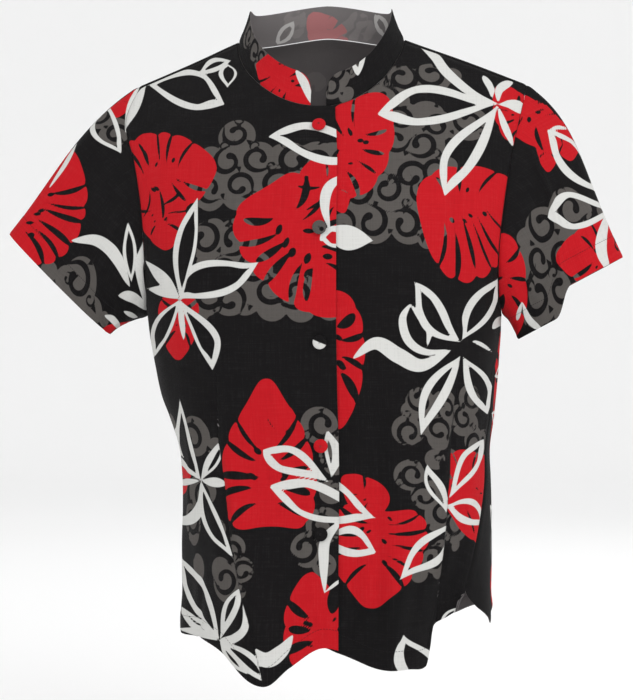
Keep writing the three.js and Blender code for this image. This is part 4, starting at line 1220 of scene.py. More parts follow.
def print_front_left(p):
    dart = [(142, -270), *DARTS["front_left"]]
    p.scrolls((14, -36, 14), (24, -58, 16), (36, -30, 18), (52, -52, 16), (72, -38, 15), (72, -70, 18),
              (100, -44, 16), (130, -36, 12), (104, -78, 22), (132, -88, 18), (80, -100, 18),
              (104, -116, 22), (74, -132, 18), (104, -146, 20), (126, -130, 12), (40, -170, 18),
              (66, -166, 20), (88, -186, 18), (22, -190, 14), (46, -198, 14), (112, -180, 12),
              (104, -206, 12), seed=12)
    p.beside(dart, 1)
    p.scrolls((86, -386, 11), (106, -384, 12), (124, -392, 12), (90, -408, 12), (116, -414, 14),
              (112, -436, 12), (88, -446, 12), (112, -470, 12), (112, -500, 12), (118, -530, 12),
              (96, -556, 10), (116, -552, 10), seed=14, size=11)
    p.leaves(
        ((54, -486), (45, -580), (52, 48), dict(slits=(5, 4), seed=14, heart=0.14, pointed=0.12)),
        ((56, -486), (18, -456), (20, 18), dict(slits=(2, 1), seed=19, heart=0)),
    )
    p.beside(dart, -1)
    p.scrolls((150, -378, 12), (150, -400, 14), (160, -420, 12), (134, -440, 10), (132, -512, 7),
              (134, -526, 7), seed=17, size=11)
    p.leaves(
        ((124, -474), (176, -446), (38, 66), dict(slits=(3, 4), seed=18, heart=0)),
        ((168, -500), (186, -470), (14, 14), dict(slits=(2, 2), seed=10)),
    )
    p.beside()
    p.leaves(
        ((0, -146), (56, -62), (42, 42), dict(slits=(4, 4), seed=11, heart=0.05)),
        ((2, -132), (16, -176), (14, 16), dict(slits=(1, 1), seed=15, heart=0)),
        ((214, -100), (180, -50), (24, 20), dict(slits=(3, 2), seed=16, heart=0)),
        ((104, -178), (196, -158), (40, 78), dict(slits=(3, 6), seed=12, heart=0)),
        ((0, -272), (10, -396), (34, 10), dict(slits=(4, 0), seed=13, heart=0, full=1.5)),
    )
    p.flower(
        (178, -66),
        ((52, -76), (16, -26), (9, 9), (0.6, 0.6)),
        ((122, -162), (12, -25), (11, 10), (0.5, 0.6)),
    )
    p.blade([(178, -66), (154, -56), (126, -34), (112, -16), (98, -6)], 10, 0.55)
    p.blade([(178, -66), (192, -66), (206, -72)], 12, 0.75)
    p.blade([(178, -68), (184, -86), (194, -110)], 7, 0.6)
    p.blade([(178, -64), (180, -50), (194, -42)], 9, 0.6)
    p.blade([(162, -36), (170, -48), (172, -60)], 7, 0.4)
    p.petal((-6, -196), (48, -208), (10, -16), (14, 14))
    p.beside(dart, 1)
    p.petal((139, -314), (90, -251), (22, -10), (9, 9), (0.45, 0.62))
    p.blade([(86, -274), (78, -290), (84, -312), (102, -324), (128, -322)], 9, 0.45)
    p.blade([(86, -274), (98, -290), (106, -302), (104, -318)], 7, 0.5)
    p.blade([(26, -331), (50, -315), (74, -328), (98, -338), (129, -322)], 16, 0.5)
    p.petal((139, -328), (97, -412), (7, -20), (10, 9), (0.4, 0.5))
    p.petal((124, -492), (104, -441), (10, -8), (4, 7.5), (0.6, 0.4))
    p.petal((132, -502), (75, -562), (19, -14), (9, 8), (0.4, 0.5))
    p.beside(dart, -1)
    p.petal((140, -312), (180, -246), (15, -13), (9, 6), (0.5, 0.5))
    p.petal((141, -328), (167, -389), (16, -10), (6, 8), (0.55, 0.55))
    p.blade([(150, -312), (160, -316), (172, -324)], 4)
    p.petal((126, -478), (163, -415), (11, -10), (6, 5), (0.6, 0.6))
    p.petal((124, -484), (165, -504), (18, -9), (7, 8), (0.5, 0.5))
    p.beside()
    p.petal((-58, -462), (50, -497), (26, -22), (8, 10), (0.45, 0.5))
    p.petal((-6, -520), (51, -534), (22, -10), (9, 9), (0.5, 0.5))
    p.petal((92, -672), (78, -618), (16, -30), (12, 10), (0.5, 0.35))
    p.petal((117, -612), (136, -590), (6, -4), (3, 3))
    p.blade([(172, -300), (180, -292), (190, -290)], 9)


def print_sleeve_right(p):
    p.scrolls((-238, -82, 12), (-228, -98, 12), seed=22, size=12)
    p.scrolls((-290, -240, 12), (-272, -248, 15), (-256, -262, 17), (-244, -280, 15), (-232, -290, 8),
              seed=28, size=15)
    p.leaves(
        ((-336, -208), (-272, -118), (16, 58), dict(slits=(2, 6), seed=21, heart=0, full=1.2)),
        ((-226, -74), (-200, -50), (9, 11), dict(slits=(1, 1), seed=22)),
        ((-238, -312), (-204, -296), (9, 9), dict(slits=(1, 1), seed=24)),
    )
    p.petal((-229, -64), (-214, -118), (5, -25), (5, 6), (0.5, 0.45))
    p.blade([(-194, -46), (-204, -68), (-210, -96)], 8, 0.5)
    p.blade([(-260, -106), (-272, -128), (-290, -154)], 4)
    p.blade([(-267, -208), (-240, -208), (-220, -224), (-206, -257)], 13, 0.5)
    p.petal((-204, -252), (-207, -188), (7, -7), (3.5, 3.5), 0.5)
    p.blade([(-193, -176), (-188, -208), (-196, -236), (-187, -282)], 9, 0.5)
    p.blade([(-218, -266), (-202, -268), (-184, -282)], 11, 0.45)
    p.blade([(-232, -286), (-222, -292), (-214, -302)], 7)
    p.blade([(-212, -282), (-204, -286), (-196, -290)], 5)
    p.turn = BEHIND
    p.scrolls((210, -110, 20), (238, -150, 18), (216, -176, 16), seed=25)
    p.leaves(
        ((196, -200), (268, -150), (44, 50), dict(slits=(5, 5), seed=26)),
        ((286, -290), (252, -214), (34, 30), dict(slits=(4, 4), seed=27)),
    )
    p.flower((214, -250), ((258, -196), (12, -10), (6, 6)), ((206, -186), (10, -12), (7, 6)),
             ((252, -286), (10, -9), (6, 6)), ((196, -276), (5, -6), (6, 6)))


def print_sleeve_left(p):
    p.scrolls((210, -206, 14), (232, -208, 15), (216, -232, 16), (240, -236, 16), (222, -254, 16),
              (244, -262, 16), (226, -280, 15), (246, -284, 12), (252, -172, 12), (268, -176, 12),
              (286, -178, 10), seed=32, size=16)
    p.leaves(
        ((184, -50), (244, -108), (40, 28), dict(slits=(3, 3), seed=31, heart=0)),
        ((230, -96), (230, -134), (12, 12), dict(slits=(1, 1), seed=34, heart=0)),
        ((244, -86), (254, -122), (16, 14), dict(slits=(1, 2), seed=30, heart=0)),
        ((176, -210), (194, -302), (24, 12), dict(slits=(3, 2), seed=32, heart=0)),
        ((326, -226), (244, -226), (34, 40), dict(slits=(4, 4), seed=33, heart=0)),
    )
    p.petal((284, -158), (229, -92), (16, -14), (9, 4), (0.5, 0.6))
    p.petal((308, -174), (230, -184), (16, -24), (7, 7), (0.62, 0.72))
    p.blade([(293, -178), (286, -204), (286, -222), (295, -242)], 12, 0.5)
    p.blade([(230, -94), (240, -90), (252, -92)], 4)
    p.blade([(203, -272), (200, -282), (198, -291)], 4.5, 0.6)
    p.blade([(203, -272), (210, -290), (223, -301)], 7, 0.65)
    p.turn = BEHIND
    p.scrolls((-214, -130, 18), (-236, -160, 20), (-214, -190, 18), seed=35)
    p.leaves(
        ((-196, -96), (-250, -150), (40, 40), dict(slits=(4, 4), seed=36)),
        ((-276, -262), (-214, -276), (34, 30), dict(slits=(4, 4), seed=37)),
    )
    p.flower((-200, -232), ((-262, -206), (11, -12), (6, 6)), ((-214, -168), (9, -10), (6, 6)),
             ((-240, -290), (10, -8), (6, 5)))


def print_collar(p):
    p.half(-1)
    p.scrolls((-84, 6, 10), (-76, -10, 12), (-68, -28, 10), (-62, -8, 8), seed=41, size=10)
    p.beside([(-57, 30), (-57, -80)], 1)
    p.leaves(((-60, -20), (-22, -70), (30, 34), dict(slits=(3, 3), seed=42, heart=0)))
    p.beside()
    p.blade([(-33, -30), (-24, -44), (-16, -66)], 9, 0.5)
    p.half(1)
    p.scrolls((6, -50, 12), (14, -40, 12), (26, -30, 10), (20, -56, 10), seed=43, size=10)
    p.beside()
    p.blade([(25, -20), (30, -30), (32, -36)], 5, 0.5)
    p.blade([(40, -6), (36, -22), (32, -36)], 5, 0.5)
    p.turn = BEHIND
    p.scrolls((-40, 24, 14), (-20, 24, 12), (36, 26, 12), seed=44, size=10)
    p.leaves(((-8, 4), (20, 40), (20, 20), dict(slits=(3, 3), seed=45)))
    p.petal((60, 8), (38, 34), (8, -6), (4, 4))
    p.petal((-64, 10), (-48, 38), (7, -6), (4, 4))


def print_back(p):
    p.turn = BEHIND
    p.scrolls((-120, -70, 24), (-92, -96, 26), (-110, -140, 22), (-70, -140, 24), (-46, -110, 18), seed=51)
    p.scrolls((70, -200, 24), (98, -230, 26), (66, -250, 24), (120, -270, 20), (40, -226, 18), seed=52)
    p.scrolls((-130, -330, 20), (-104, -360, 26), (-128, -396, 22), (-84, -400, 22), (-60, -370, 16),
              seed=53)
    p.scrolls((60, -440, 22), (92, -460, 24), (120, -500, 24), (76, -510, 24), (44, -490, 18), seed=54)
    p.scrolls((-60, -560, 24), (-94, -590, 22), (-30, -590, 20), (4, -610, 14), (-120, -600, 16), seed=55)
    p.scrolls((150, -110, 18), (128, -70, 18), (20, -20, 14), (44, -40, 18), (74, -50, 16), seed=56)
    p.leaves(
        ((-10, -130), (74, -96), (52, 56), dict(slits=(6, 5), seed=51)),
        ((-150, -210), (-76, -250), (54, 50), dict(slits=(5, 6), seed=52)),
        ((-30, -236), (-48, -320), (50, 48), dict(slits=(5, 5), seed=53)),
        ((150, -360), (80, -330), (52, 54), dict(slits=(5, 5), seed=54)),
        ((10, -400), (-30, -482), (52, 50), dict(slits=(5, 6), seed=55)),
        ((128, -560), (60, -600), (44, 50), dict(slits=(5, 4), seed=56)),
        ((-140, -470), (-96, -520), (36, 40), dict(slits=(4, 4), seed=57)),
        ((-178, -80), (-150, -130), (26, 26), dict(slits=(3, 3), seed=58)),
        ((170, -190), (146, -240), (28, 26), dict(slits=(3, 3), seed=59)),
    )
    p.flower(
        (132, -150),
        ((60, -170), (15, -17), (6, 6), 0.6),
        ((84, -84), (16, -12), (6, 5), 0.6),
        ((170, -76), (14, -12), (5, 6)),
        ((186, -180), (11, -10), (5, 5)),
        ((118, -226), (17, -12), (7, 5), 0.6),
        ((176, -226), (8, -8), (9, 9)),
    )
    p.flower(
        (-28, -190),
        ((-112, -182), (14, -16), (6, 6), 0.6),
        ((-76, -118), (15, -12), (6, 5), 0.6),
        ((24, -150), (12, -14), (5, 6)),
        ((46, -222), (16, -11), (7, 5), 0.6),
        ((-22, -280), (14, -15), (6, 6), 0.6),
        ((-86, -256), (8, -9), (9, 9)),
        clear=True,
    )
    p.flower(
        (36, -356),
        ((-46, -370), (17, -13), (6, 7), 0.6),
        ((-8, -296), (13, -14), (5, 6)),
        ((62, -290), (12, -13), (6, 5), 0.6),
        ((118, -390), (16, -14), (7, 6), 0.6),
        ((70, -440), (15, -12), (6, 6), 0.6),
        ((0, -424), (8, -8), (9, 9)),
    )
    p.flower(
        (-100, -440),
        ((-176, -420), (13, -13), (5, 6)),
        ((-120, -360), (14, -12), (6, 5), 0.6),
        ((-44, -420), (12, -14), (6, 6)),
        ((-60, -516), (17, -13), (7, 6), 0.6),
        ((-140, -520), (13, -12), (5, 6), 0.6),
        clear=True,
    )
    p.flower(
        (22, -556),
        ((-44, -520), (13, -12), (6, 5), 0.6),
        ((44, -480), (14, -13), (5, 6), 0.6),
        ((104, -536), (15, -12), (6, 6), 0.6),
        ((70, -624), (14, -13), (6, 5)),
        ((-26, -622), (12, -14), (6, 6), 0.6),
    )
    p.petal((-160, -560), (-110, -616), (14, -13), (6, 6), 0.55)
    p.petal((-20, -20), (-78, -40), (12, -10), (5, 5), 0.55)
    p.turn = LEFT_SIDE
    p.scrolls((-6, -540, 13), (8, -556, 13), seed=57)
    p.leaves(
        ((-8, -314), (0, -442), (30, 24), dict(slits=(4, 4), seed=60, heart=0)),
        ((-4, -566), (2, -620), (26, 24), dict(slits=(3, 3), seed=61, heart=0)),
    )
    p.petal((-34, -352), (18, -342), (7, -6), (4, 4))
    p.petal((-34, -392), (16, -404), (7, -6), (4, 4))
    p.petal((-30, -494), (22, -530), (11, -11), (6, 6))
    p.turn = RIGHT_SIDE
    p.petal((-22, -420), (18, -480), (12, -11), (6, 6))


PRINTS = dict(
    front_right=print_front_right,
    front_left=print_front_left,
    back=print_back,
    sleeve_right=print_sleeve_right,
    sleeve_left=print_sleeve_left,
    collar=print_collar,
)


# ---- meshes --------------------------------------------------------------------------------


def shell_faces(rows, cols, loop, flip):
    """Faces of a thin wall: the fine outer skin, the coarser inner skin and the rims."""
    step = INNER_STEP
    in_rows = rows // step + 1
    in_cols = cols // step if loop else (cols - 1) // step + 1
    outer = np.arange(rows * cols).reshape(rows, cols)
    inner = rows * cols + np.arange(in_rows * in_cols).reshape(in_rows, in_cols)
    if loop:
        outer, inner = (np.concatenate([grid, grid[:, :1]], axis=1) for grid in (outer, inner))
    skin = lambda g: np.stack([g[:-1, :-1], g[:-1, 1:], g[1:, 1:], g[1:, :-1]], -1).reshape(-1, 4)
    quads = np.concatenate([skin(outer), skin(inner)[:, ::-1]])

    def rim(line, back_line, reverse):
        """Hexagons between an edge of the outer skin and the coarser edge of the inner one."""
        starts = np.arange(0, len(line) - 1, step)
        along = np.stack([line[starts + k] for k in range(step + 1)], -1)
        back = np.stack([back_line[starts // step + 1], back_line[starts // step]], -1)
        made = np.concatenate([along, back], axis=1)
        return made if reverse else made[:, ::-1]

    rims = [rim(outer[0], inner[0], False), rim(outer[-1], inner[-1], True)]
    if not loop:
        rims += [rim(outer[:, 0], inner[:, 0], True), rim(outer[:, -1], inner[:, -1], False)]
    rims = np.concatenate(rims)
    if flip:
        quads, rims = quads[:, ::-1], rims[:, ::-1]
    return quads, rims


def mesh_points(mesh):
    points = np.zeros(len(mesh.vertices) * 3, np.float32)
    mesh.vertices.foreach_get("co", points)
    return points.reshape(-1, 3)


def lay_flat(mesh, values, flat):
    """Gives each point of a mesh its print distances, and its place on the flat cloth as UVs."""
    for name, value in values.items():
        attribute = mesh.attributes.new(name, "FLOAT", "POINT")
        attribute.data.foreach_set("value", value.astype(np.float32))
    corners = np.zeros(len(mesh.loops), np.int32)
    mesh.loops.foreach_get("vertex_index", corners)
    uv = mesh.uv_layers.new(name="flat")
    uv.data.foreach_set("uv", flat[corners].astype(np.float32).ravel())


def shell(cloth, fields):
    """A thin wall of cloth on the outer points, with the print and the edges as attributes."""
    rows, cols = cloth.points.shape[:2]
    take = lambda grid: grid[::INNER_STEP, ::INNER_STEP]
    inner = take(cloth.points - cloth.normals * cloth.thick[..., None])
    positions = np.concatenate([cloth.points.reshape(-1, 3), inner.reshape(-1, 3)]) * MM
    quads, rims = shell_faces(rows, cols, cloth.loop, cloth.flip)
    mesh = bpy.data.meshes.new(cloth.name)
    mesh.vertices.add(len(positions))
    mesh.vertices.foreach_set("co", positions.astype(np.float32).ravel())
    corners = np.concatenate([quads.ravel(), rims.ravel()]).astype(np.int32)
    mesh.loops.add(len(corners))
    mesh.loops.foreach_set("vertex_index", corners)
    starts = np.concatenate([np.arange(len(quads)) * 4, quads.size + np.arange(len(rims)) * 6])
    mesh.polygons.add(len(starts))
    mesh.polygons.foreach_set("loop_start", starts.astype(np.int32))
    mesh.update(calc_edges=True)
    mesh.polygons.foreach_set("use_smooth", np.ones(len(starts), bool))

    both = lambda grid: np.concatenate([grid.ravel(), take(grid.reshape(rows, cols)).ravel()])
    values = {name: both(grid) for name, grid in fields.items()}
    values["stitch"] = both(np.clip(cloth.stitch, -FAR, FAR))
    values["dart"] = both(np.clip(cloth.dart, 0, FAR))
    values["inside"] = np.repeat([0.0, 1.0], [rows * cols, inner.shape[0] * inner.shape[1]])
    flat = np.concatenate([cloth.flat.reshape(-1, 2), take(cloth.flat).reshape(-1, 2)]) * MM
    lay_flat(mesh, values, flat)
    mesh.validate()
    mesh.set_sharp_from_angle(angle=math.radians(55))
    obj = bpy.data.objects.new("cloth_" + cloth.name, mesh)
    bpy.context.scene.collection.objects.link(obj)
    return obj


def check_place(obj, node):
    """Stops if a piece of cloth strays from the solid that it stands for."""
    low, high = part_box(node)
    points = mesh_points(obj.data)
    off = max(np.abs(points.min(0) - low).max(), np.abs(points.max(0) - high).max())
    if off > STRAY:
        raise RuntimeError(f"{obj.name} lies {off / MM:.0f} mm away from {node}")


# ---- materials -----------------------------------------------------------------------------


class Value:
    """A number from a node, which adds maths nodes when it is used in an expression."""

    def __init__(self, shader, socket):
        self.shader, self.socket = shader, socket

    def maths(self, operation, a, b, clamp=False):
        return self.shader.value("ShaderNodeMath", dict(operation=operation, use_clamp=clamp), {0: a, 1: b})

    def __add__(self, other):
        return self.maths("ADD", self, other)

    def __radd__(self, other):
        return self.maths("ADD", other, self)

    def __sub__(self, other):
        return self.maths("SUBTRACT", self, other)

    def __rsub__(self, other):
        return self.maths("SUBTRACT", other, self)

    def __mul__(self, other):
        return self.maths("MULTIPLY", self, other)

    def __rmul__(self, other):
        return self.maths("MULTIPLY", other, self)

    def clamped(self):
        return self.maths("ADD", self, 0.0, clamp=True)

    def sine(self):
        return self.maths("SINE", self, 0.0)

    def size(self):
        return self.maths("ABSOLUTE", self, 0.0)


class Shader:
    """A material whose nodes are added one by one."""

    def __init__(self, name):
        self.material = bpy.data.materials.new(name)
        self.material.use_nodes = True
        self.tree = self.material.node_tree
        self.tree.nodes.clear()

    def node(self, kind, settings=None, inputs=None):
        """Adds a node: its settings first, then the links and values of its sockets."""
        made = self.tree.nodes.new(kind)
        for key, value in (settings or {}).items():
            setattr(made, key, value)
        for key, value in (inputs or {}).items():
            if isinstance(value, Value):
                self.tree.links.new(value.socket, made.inputs[key])
            else:
                made.inputs[key].default_value = value
        return made

    def value(self, kind, settings=None, inputs=None, output=0):
        return Value(self, self.node(kind, settings, inputs).outputs[output])

    def attribute(self, name):
        return self.value("ShaderNodeAttribute", dict(attribute_name=name), output="Fac")

    def blend(self, factor, a, b):
        """Mixes two colours."""
        return self.value("ShaderNodeMix", dict(data_type="RGBA"), {0: factor, 6: a, 7: b}, output=2)

    def noise(self, vector, scale, detail=2.0, rough=0.5):
        inputs = {"Vector": vector, "Scale": scale, "Detail": detail, "Roughness": rough}
        return self.value("ShaderNodeTexNoise", None, inputs)

    def stretched(self, vector, scale):
        return self.value("ShaderNodeMapping", None, {"Vector": vector, "Scale": scale})

    def finish(self, colour, roughness, height, distance, sheen):
        """The surface, with bumps as high as height times a distance in metres."""
        bump = self.value("ShaderNodeBump", None, {"Height": height, "Distance": distance, "Strength": 1.0})
        surface = self.node(
            "ShaderNodeBsdfPrincipled",
            None,
            {"Base Color": colour, "Roughness": roughness, "Normal": bump,
             "Sheen Weight": sheen, "Sheen Roughness": 0.5, "Specular IOR Level": 0.1},
        )
        output = self.node("ShaderNodeOutputMaterial")
        self.tree.links.new(surface.outputs[0], output.inputs[0])
        return self.material


@functools.lru_cache
def printed_cloth():
    """Plain-woven black cloth, printed with grey, then red, then white."""
    plan = bpy.context.scene.blouse_cloth
    shader = Shader("printed_cloth")
    flat = shader.value("ShaderNodeUVMap", dict(uv_map="flat"))
    parts = shader.node("ShaderNodeSeparateXYZ", None, {0: flat})
    across, up = Value(shader, parts.outputs[0]), Value(shader, parts.outputs[1])

    # Noise scales are per metre of flat cloth, across it and up it.
    ink = lambda name: (0.5 - shader.attribute(name) * 1.8).clamped()
    wear = shader.noise(flat, 260.0, 3.0)
    slub = shader.noise(shader.stretched(flat, (900.0, 26.0, 1.0)), 1.0, 2.0)
    weft = shader.noise(shader.stretched(flat, (30.0, 800.0, 1.0)), 1.0, 2.0)
    threads = slub * 0.5 + weft * 0.5

    colour = shader.blend(ink("grey"), (*plan.ground, 1), (*plan.scroll, 1))
    colour = shader.blend(ink("red"), colour, (*plan.leaf, 1))
    white = ink("outer") * (1 - ink("inner"))
    colour = shader.blend(white, colour, (*plan.flower, 1))

    worn = ((threads - 0.5) * 1.1 + (wear - 0.5) * 0.3).clamped()
    colour = shader.blend(worn * 0.12, colour, WORN)
    shade = ((0.5 - threads) * 1.4).clamped()
    colour = shader.blend(shade * 0.5, colour, SHADE)

    inside = shader.attribute("inside")
    colour = shader.blend(inside * 0.55, colour, WRONG_SIDE)

    run = (across * (2 * math.pi / STITCH_LENGTH)).sine()
    thread = (1.2 - shader.attribute("stitch").size() * 2.6).clamped() * (run * 2 + 1.4).clamped()
    colour = shader.blend(thread * 0.8, colour, HEM_THREAD)

    # Painted shade: the colour is darkened towards SHADE along each dart line to stand in for the shade in
    # the dart's crease. The same mask also sinks the dart's groove in the bump below.
    sewn = (1.0 - shader.attribute("dart") * 1.1).clamped()
    colour = shader.blend(sewn * 0.75, colour, SHADE)

    pitch = 2 * math.pi / THREAD_PITCH
    weave = (across * pitch).sine() * (up * pitch).sine()
    crumple = shader.noise(flat, 55.0, 3.0, 0.55)
    height = weave * 0.1 + threads * 0.5 + crumple * 1.6 + thread * 0.9 - sewn * 2.2
    roughness = 0.78 + (threads - 0.5) * 0.2 - white * 0.05
    return shader.finish(colour, roughness, height, 0.00035, 0.01)


@functools.lru_cache
def sewing_thread():
    shader = Shader("sewing_thread")
    place = shader.value("ShaderNodeTexCoord", None, None, output="Object")
    twist = shader.noise(place, 2600.0, 2.0)
    colour = shader.blend(twist, (0.008, 0.007, 0.008, 1), (0.05, 0.045, 0.048, 1))
    return shader.finish(colour, 0.6 + twist * 0.2, twist, 0.0001, 0.1)


# ---- buttons -------------------------------------------------------------------------------

DISC, DISC_MIDDLE = 1.6, 2.4  # a button starts as a disc: its thickness, and its middle's height
DOME = ((0.9, 0.62), (1.6, 0.5), (1.9, 0.26), (1.5, 0.02), (0.45, -0.34))  # each ring: in, up
HOLLOW_IN, HOLLOW_DOWN = 1.4, 0.25
SHANK_IN, SHANK_DOWN, SHANK_CORNER = 3.6, 1.0, 0.4
STITCH_PLACES = (-0.55, 0.55)
STITCH_HEIGHT, STITCH_REACH, STITCH_RADIUS = 4.0, 0.95, 0.2


def covered_button(radius):
    """A domed, cloth-covered button at the origin, with its shank below."""
    bpy.ops.object.select_all(action="DESELECT")
    bpy.ops.mesh.primitive_cylinder_add(
        vertices=40, radius=radius, depth=DISC * MM, location=(0, 0, DISC_MIDDLE * MM),
    )
    cap = bpy.context.object
    bpy.ops.object.transform_apply(location=True, rotation=True, scale=True)
    bpy.ops.object.mode_set(mode="EDIT")
    bpy.ops.mesh.select_mode(type="FACE")

    def pick(way):
        bpy.ops.mesh.select_all(action="DESELECT")
        bpy.ops.object.mode_set(mode="OBJECT")
        for face in cap.data.polygons:
            if face.normal.z * way > 0.9 and len(face.vertices) > 4:
                face.select = True
        bpy.ops.object.mode_set(mode="EDIT")

    pick(1)
    for inset, rise in DOME:
        bpy.ops.mesh.inset(thickness=inset * MM)
        bpy.ops.transform.translate(value=(0, 0, rise * MM))
    pick(-1)
    bpy.ops.mesh.inset(thickness=HOLLOW_IN * MM)
    bpy.ops.transform.translate(value=(0, 0, -HOLLOW_DOWN * MM))
    bpy.ops.mesh.inset(thickness=SHANK_IN * MM)
    bpy.ops.mesh.extrude_region_move(TRANSFORM_OT_translate={"value": (0, 0, -SHANK_DOWN * MM)})
    bpy.ops.mesh.inset(thickness=SHANK_CORNER * MM)
    bpy.ops.object.mode_set(mode="OBJECT")
    smoother = cap.modifiers.new("round", "SUBSURF")
    smoother.levels = smoother.render_levels = 2
    bpy.ops.object.modifier_apply(modifier="round")
    bpy.ops.object.shade_smooth()
    return cap


def stitches():
    """Two short loops of thread that hold the middle of a button."""
    made = []
    for offset in STITCH_PLACES:
        bpy.ops.object.select_all(action="DESELECT")
        bpy.ops.mesh.primitive_torus_add(
            major_segments=28, minor_segments=10,
            major_radius=STITCH_REACH * MM, minor_radius=STITCH_RADIUS * MM,
            location=(0, offset * MM, STITCH_HEIGHT * MM), rotation=(math.pi / 2, 0, 0.12),
        )
        bpy.ops.object.shade_smooth()
        made.append(bpy.context.object)
    for obj in made:
        obj.select_set(True)
    bpy.ops.object.join()
    bpy.ops.object.transform_apply(location=True, rotation=True, scale=True)
    return bpy.context.object


def button_seat(height):
    """The middle of a button's seat on the upper front, and the direction it faces."""
    cloth = cut()["front_right"]
    column = cloth.points[:, LAP_COLUMNS]
    k = int(np.argmin(np.abs(column[:, 2] - height)))
    return Vector(column[k] * MM), Vector(cloth.normals[k, LAP_COLUMNS])


ALL_OVER = (0, 0, 99)
# What the cloth over each button shows: the direction in which a colour ends, and how far from
# the middle. A clear spot is given by its place and radius.
BUTTON_TINTS = (
    dict(red=ALL_OVER),
    dict(grey=ALL_OVER, clear=(2.5, -2, 2.2)),
    dict(outer=(0.5, 1.2, 0.0)),
    dict(red=ALL_OVER),
    dict(),
)


def tint_button(obj, number):
    """Distances on one button's cloth, as on the larger pieces."""
    x, y, _ = mesh_points(obj.data).T / MM
    values = {name: np.full(len(x), FAR) for name in INKS}
    for name, (dx, dy, far) in BUTTON_TINTS[number].items():
        if name == "clear":
            values["grey"] = np.maximum(values["grey"], far - np.hypot(x - dx, y - dy))
            continue
        edge = (x * dx + y * dy) / max(math.hypot(dx, dy), TINY) - far
        values[name] = np.clip(edge, -FAR, FAR)
    values["inside"] = np.zeros(len(x))
    values["stitch"] = values["dart"] = np.full(len(x), FAR)
    for layer in list(obj.data.uv_layers):
        obj.data.uv_layers.remove(layer)
    lay_flat(obj.data, values, np.stack([x, y], -1) * MM)


# ---- properties, operators and panel -------------------------------------------------------


class BlouseCloth(bpy.types.PropertyGroup):
    thickness: FloatProperty(name="Cloth thickness", description="Thickness of one layer of the cloth",
                             default=0.0007, min=0.0003, max=0.002, unit="LENGTH", precision=4)
    crease: FloatProperty(name="Creases", description="Strength of the small creases",
                          default=1.0, min=0.0, max=2.0, subtype="FACTOR")
    body_hem: FloatProperty(name="Body hem", description="Depth of the turned hem round the body",
                            default=0.020, min=0.005, max=0.05, unit="LENGTH")
    sleeve_hem: FloatProperty(name="Sleeve hem", description="Depth of the turned hem round a sleeve",
                              default=0.025, min=0.005, max=0.05, unit="LENGTH")
    ground: FloatVectorProperty(name="Ground", description="Colour of the cloth under the print",
                                subtype="COLOR", default=(0.0038, 0.0033, 0.0036), min=0, max=1)
    scroll: FloatVectorProperty(name="Scrolls", description="Colour of the scroll patches",
                                subtype="COLOR", default=(0.076, 0.069, 0.064), min=0, max=1)
    leaf: FloatVectorProperty(name="Leaves", description="Colour of the leaves",
                              subtype="COLOR", default=(0.43, 0.0055, 0.0105), min=0, max=1)
    flower: FloatVectorProperty(name="Flowers", description="Colour of the petal outlines",
                                subtype="COLOR", default=(0.56, 0.56, 0.54), min=0, max=1)


class BlouseButtons(bpy.types.PropertyGroup):
    radius: FloatProperty(name="Button radius", description="Radius of a covered button",
                          default=BUTTON_RADIUS * MM, min=0.004, max=0.012, unit="LENGTH")


class BlouseStage(bpy.types.PropertyGroup):
    lens: FloatProperty(name="Lens", description="Focal length of the camera, in millimetres",
                        default=98.7, min=20, max=300)
    floor_drop: FloatProperty(name="Floor", description="How far the floor lies below the hem",
                              default=0.16, min=0.0, max=2.0, unit="LENGTH")
    key: FloatProperty(name="Key light", description="Power of the main light",
                       default=38.0, min=0, max=500, unit="POWER")
    fill: FloatProperty(name="Fill light", description="Power of the light from the other side",
                        default=9.0, min=0, max=500, unit="POWER")
    sky: FloatProperty(name="Room light", description="Strength of the light from all round",
                       default=0.95, min=0, max=5)


def dress(name):
    """Makes one piece of cloth in place of its solid."""
    cloth = cut()[name]
    design = Print(cloth)
    PRINTS[name](design)
    obj = shell(cloth, design.fields())
    check_place(obj, name)
    obj.data.materials.append(printed_cloth())
    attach(obj, "root")
    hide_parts(name)
    return obj


class BLOUSE_OT_fronts(bpy.types.Operator):
    """Makes the two fronts, the wearer's right one lapped over the left one"""

    bl_idname = "blouse.fronts"
    bl_label = "Fronts"

    def execute(self, context):
        dress("front_right")
        dress("front_left")
        return {"FINISHED"}


class BLOUSE_OT_back(bpy.types.Operator):
    """Makes the back"""

    bl_idname = "blouse.back"
    bl_label = "Back"

    def execute(self, context):
        dress("back")
        return {"FINISHED"}


class BLOUSE_OT_sleeves(bpy.types.Operator):
    """Makes the two short sleeves"""

    bl_idname = "blouse.sleeves"
    bl_label = "Sleeves"

    def execute(self, context):
        dress("sleeve_right")
        dress("sleeve_left")
        return {"FINISHED"}


class BLOUSE_OT_collar(bpy.types.Operator):
    """Makes the standing band collar"""

    bl_idname = "blouse.collar"
    bl_label = "Collar"

    def execute(self, context):
        dress("collar")
        return {"FINISHED"}


class BLOUSE_OT_buttons(bpy.types.Operator):
    """Makes the five covered buttons, each a copy of one pattern"""

    bl_idname = "blouse.buttons"
    bl_label = "Buttons"

    def execute(self, context):
        pattern = covered_button(context.scene.blouse_buttons.radius)
        thread = stitches()
        for number, height in enumerate(BUTTON_HEIGHTS):
            foot, way = button_seat(height)
            across = Vector((1, 0, 0))
            up = way.cross(across).normalized()
            place = Matrix((up.cross(way), up, way)).transposed().to_4x4()
            place.translation = foot + way * SEAM * MM
            button = bpy.data.objects.new(f"covered_button_{number + 1}", pattern.data.copy())
            tint_button(button, number)
            loops = bpy.data.objects.new(f"button_thread_{number + 1}", thread.data.copy())
            for obj, material in ((button, printed_cloth()), (loops, sewing_thread())):
                context.scene.collection.objects.link(obj)
                obj.data.transform(place)
                obj.data.materials.append(material)
                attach(obj, "root")
            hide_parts(f"button_{number + 1}")
        for obj in (pattern, thread):
            bpy.data.objects.remove(obj)
        return {"FINISHED"}


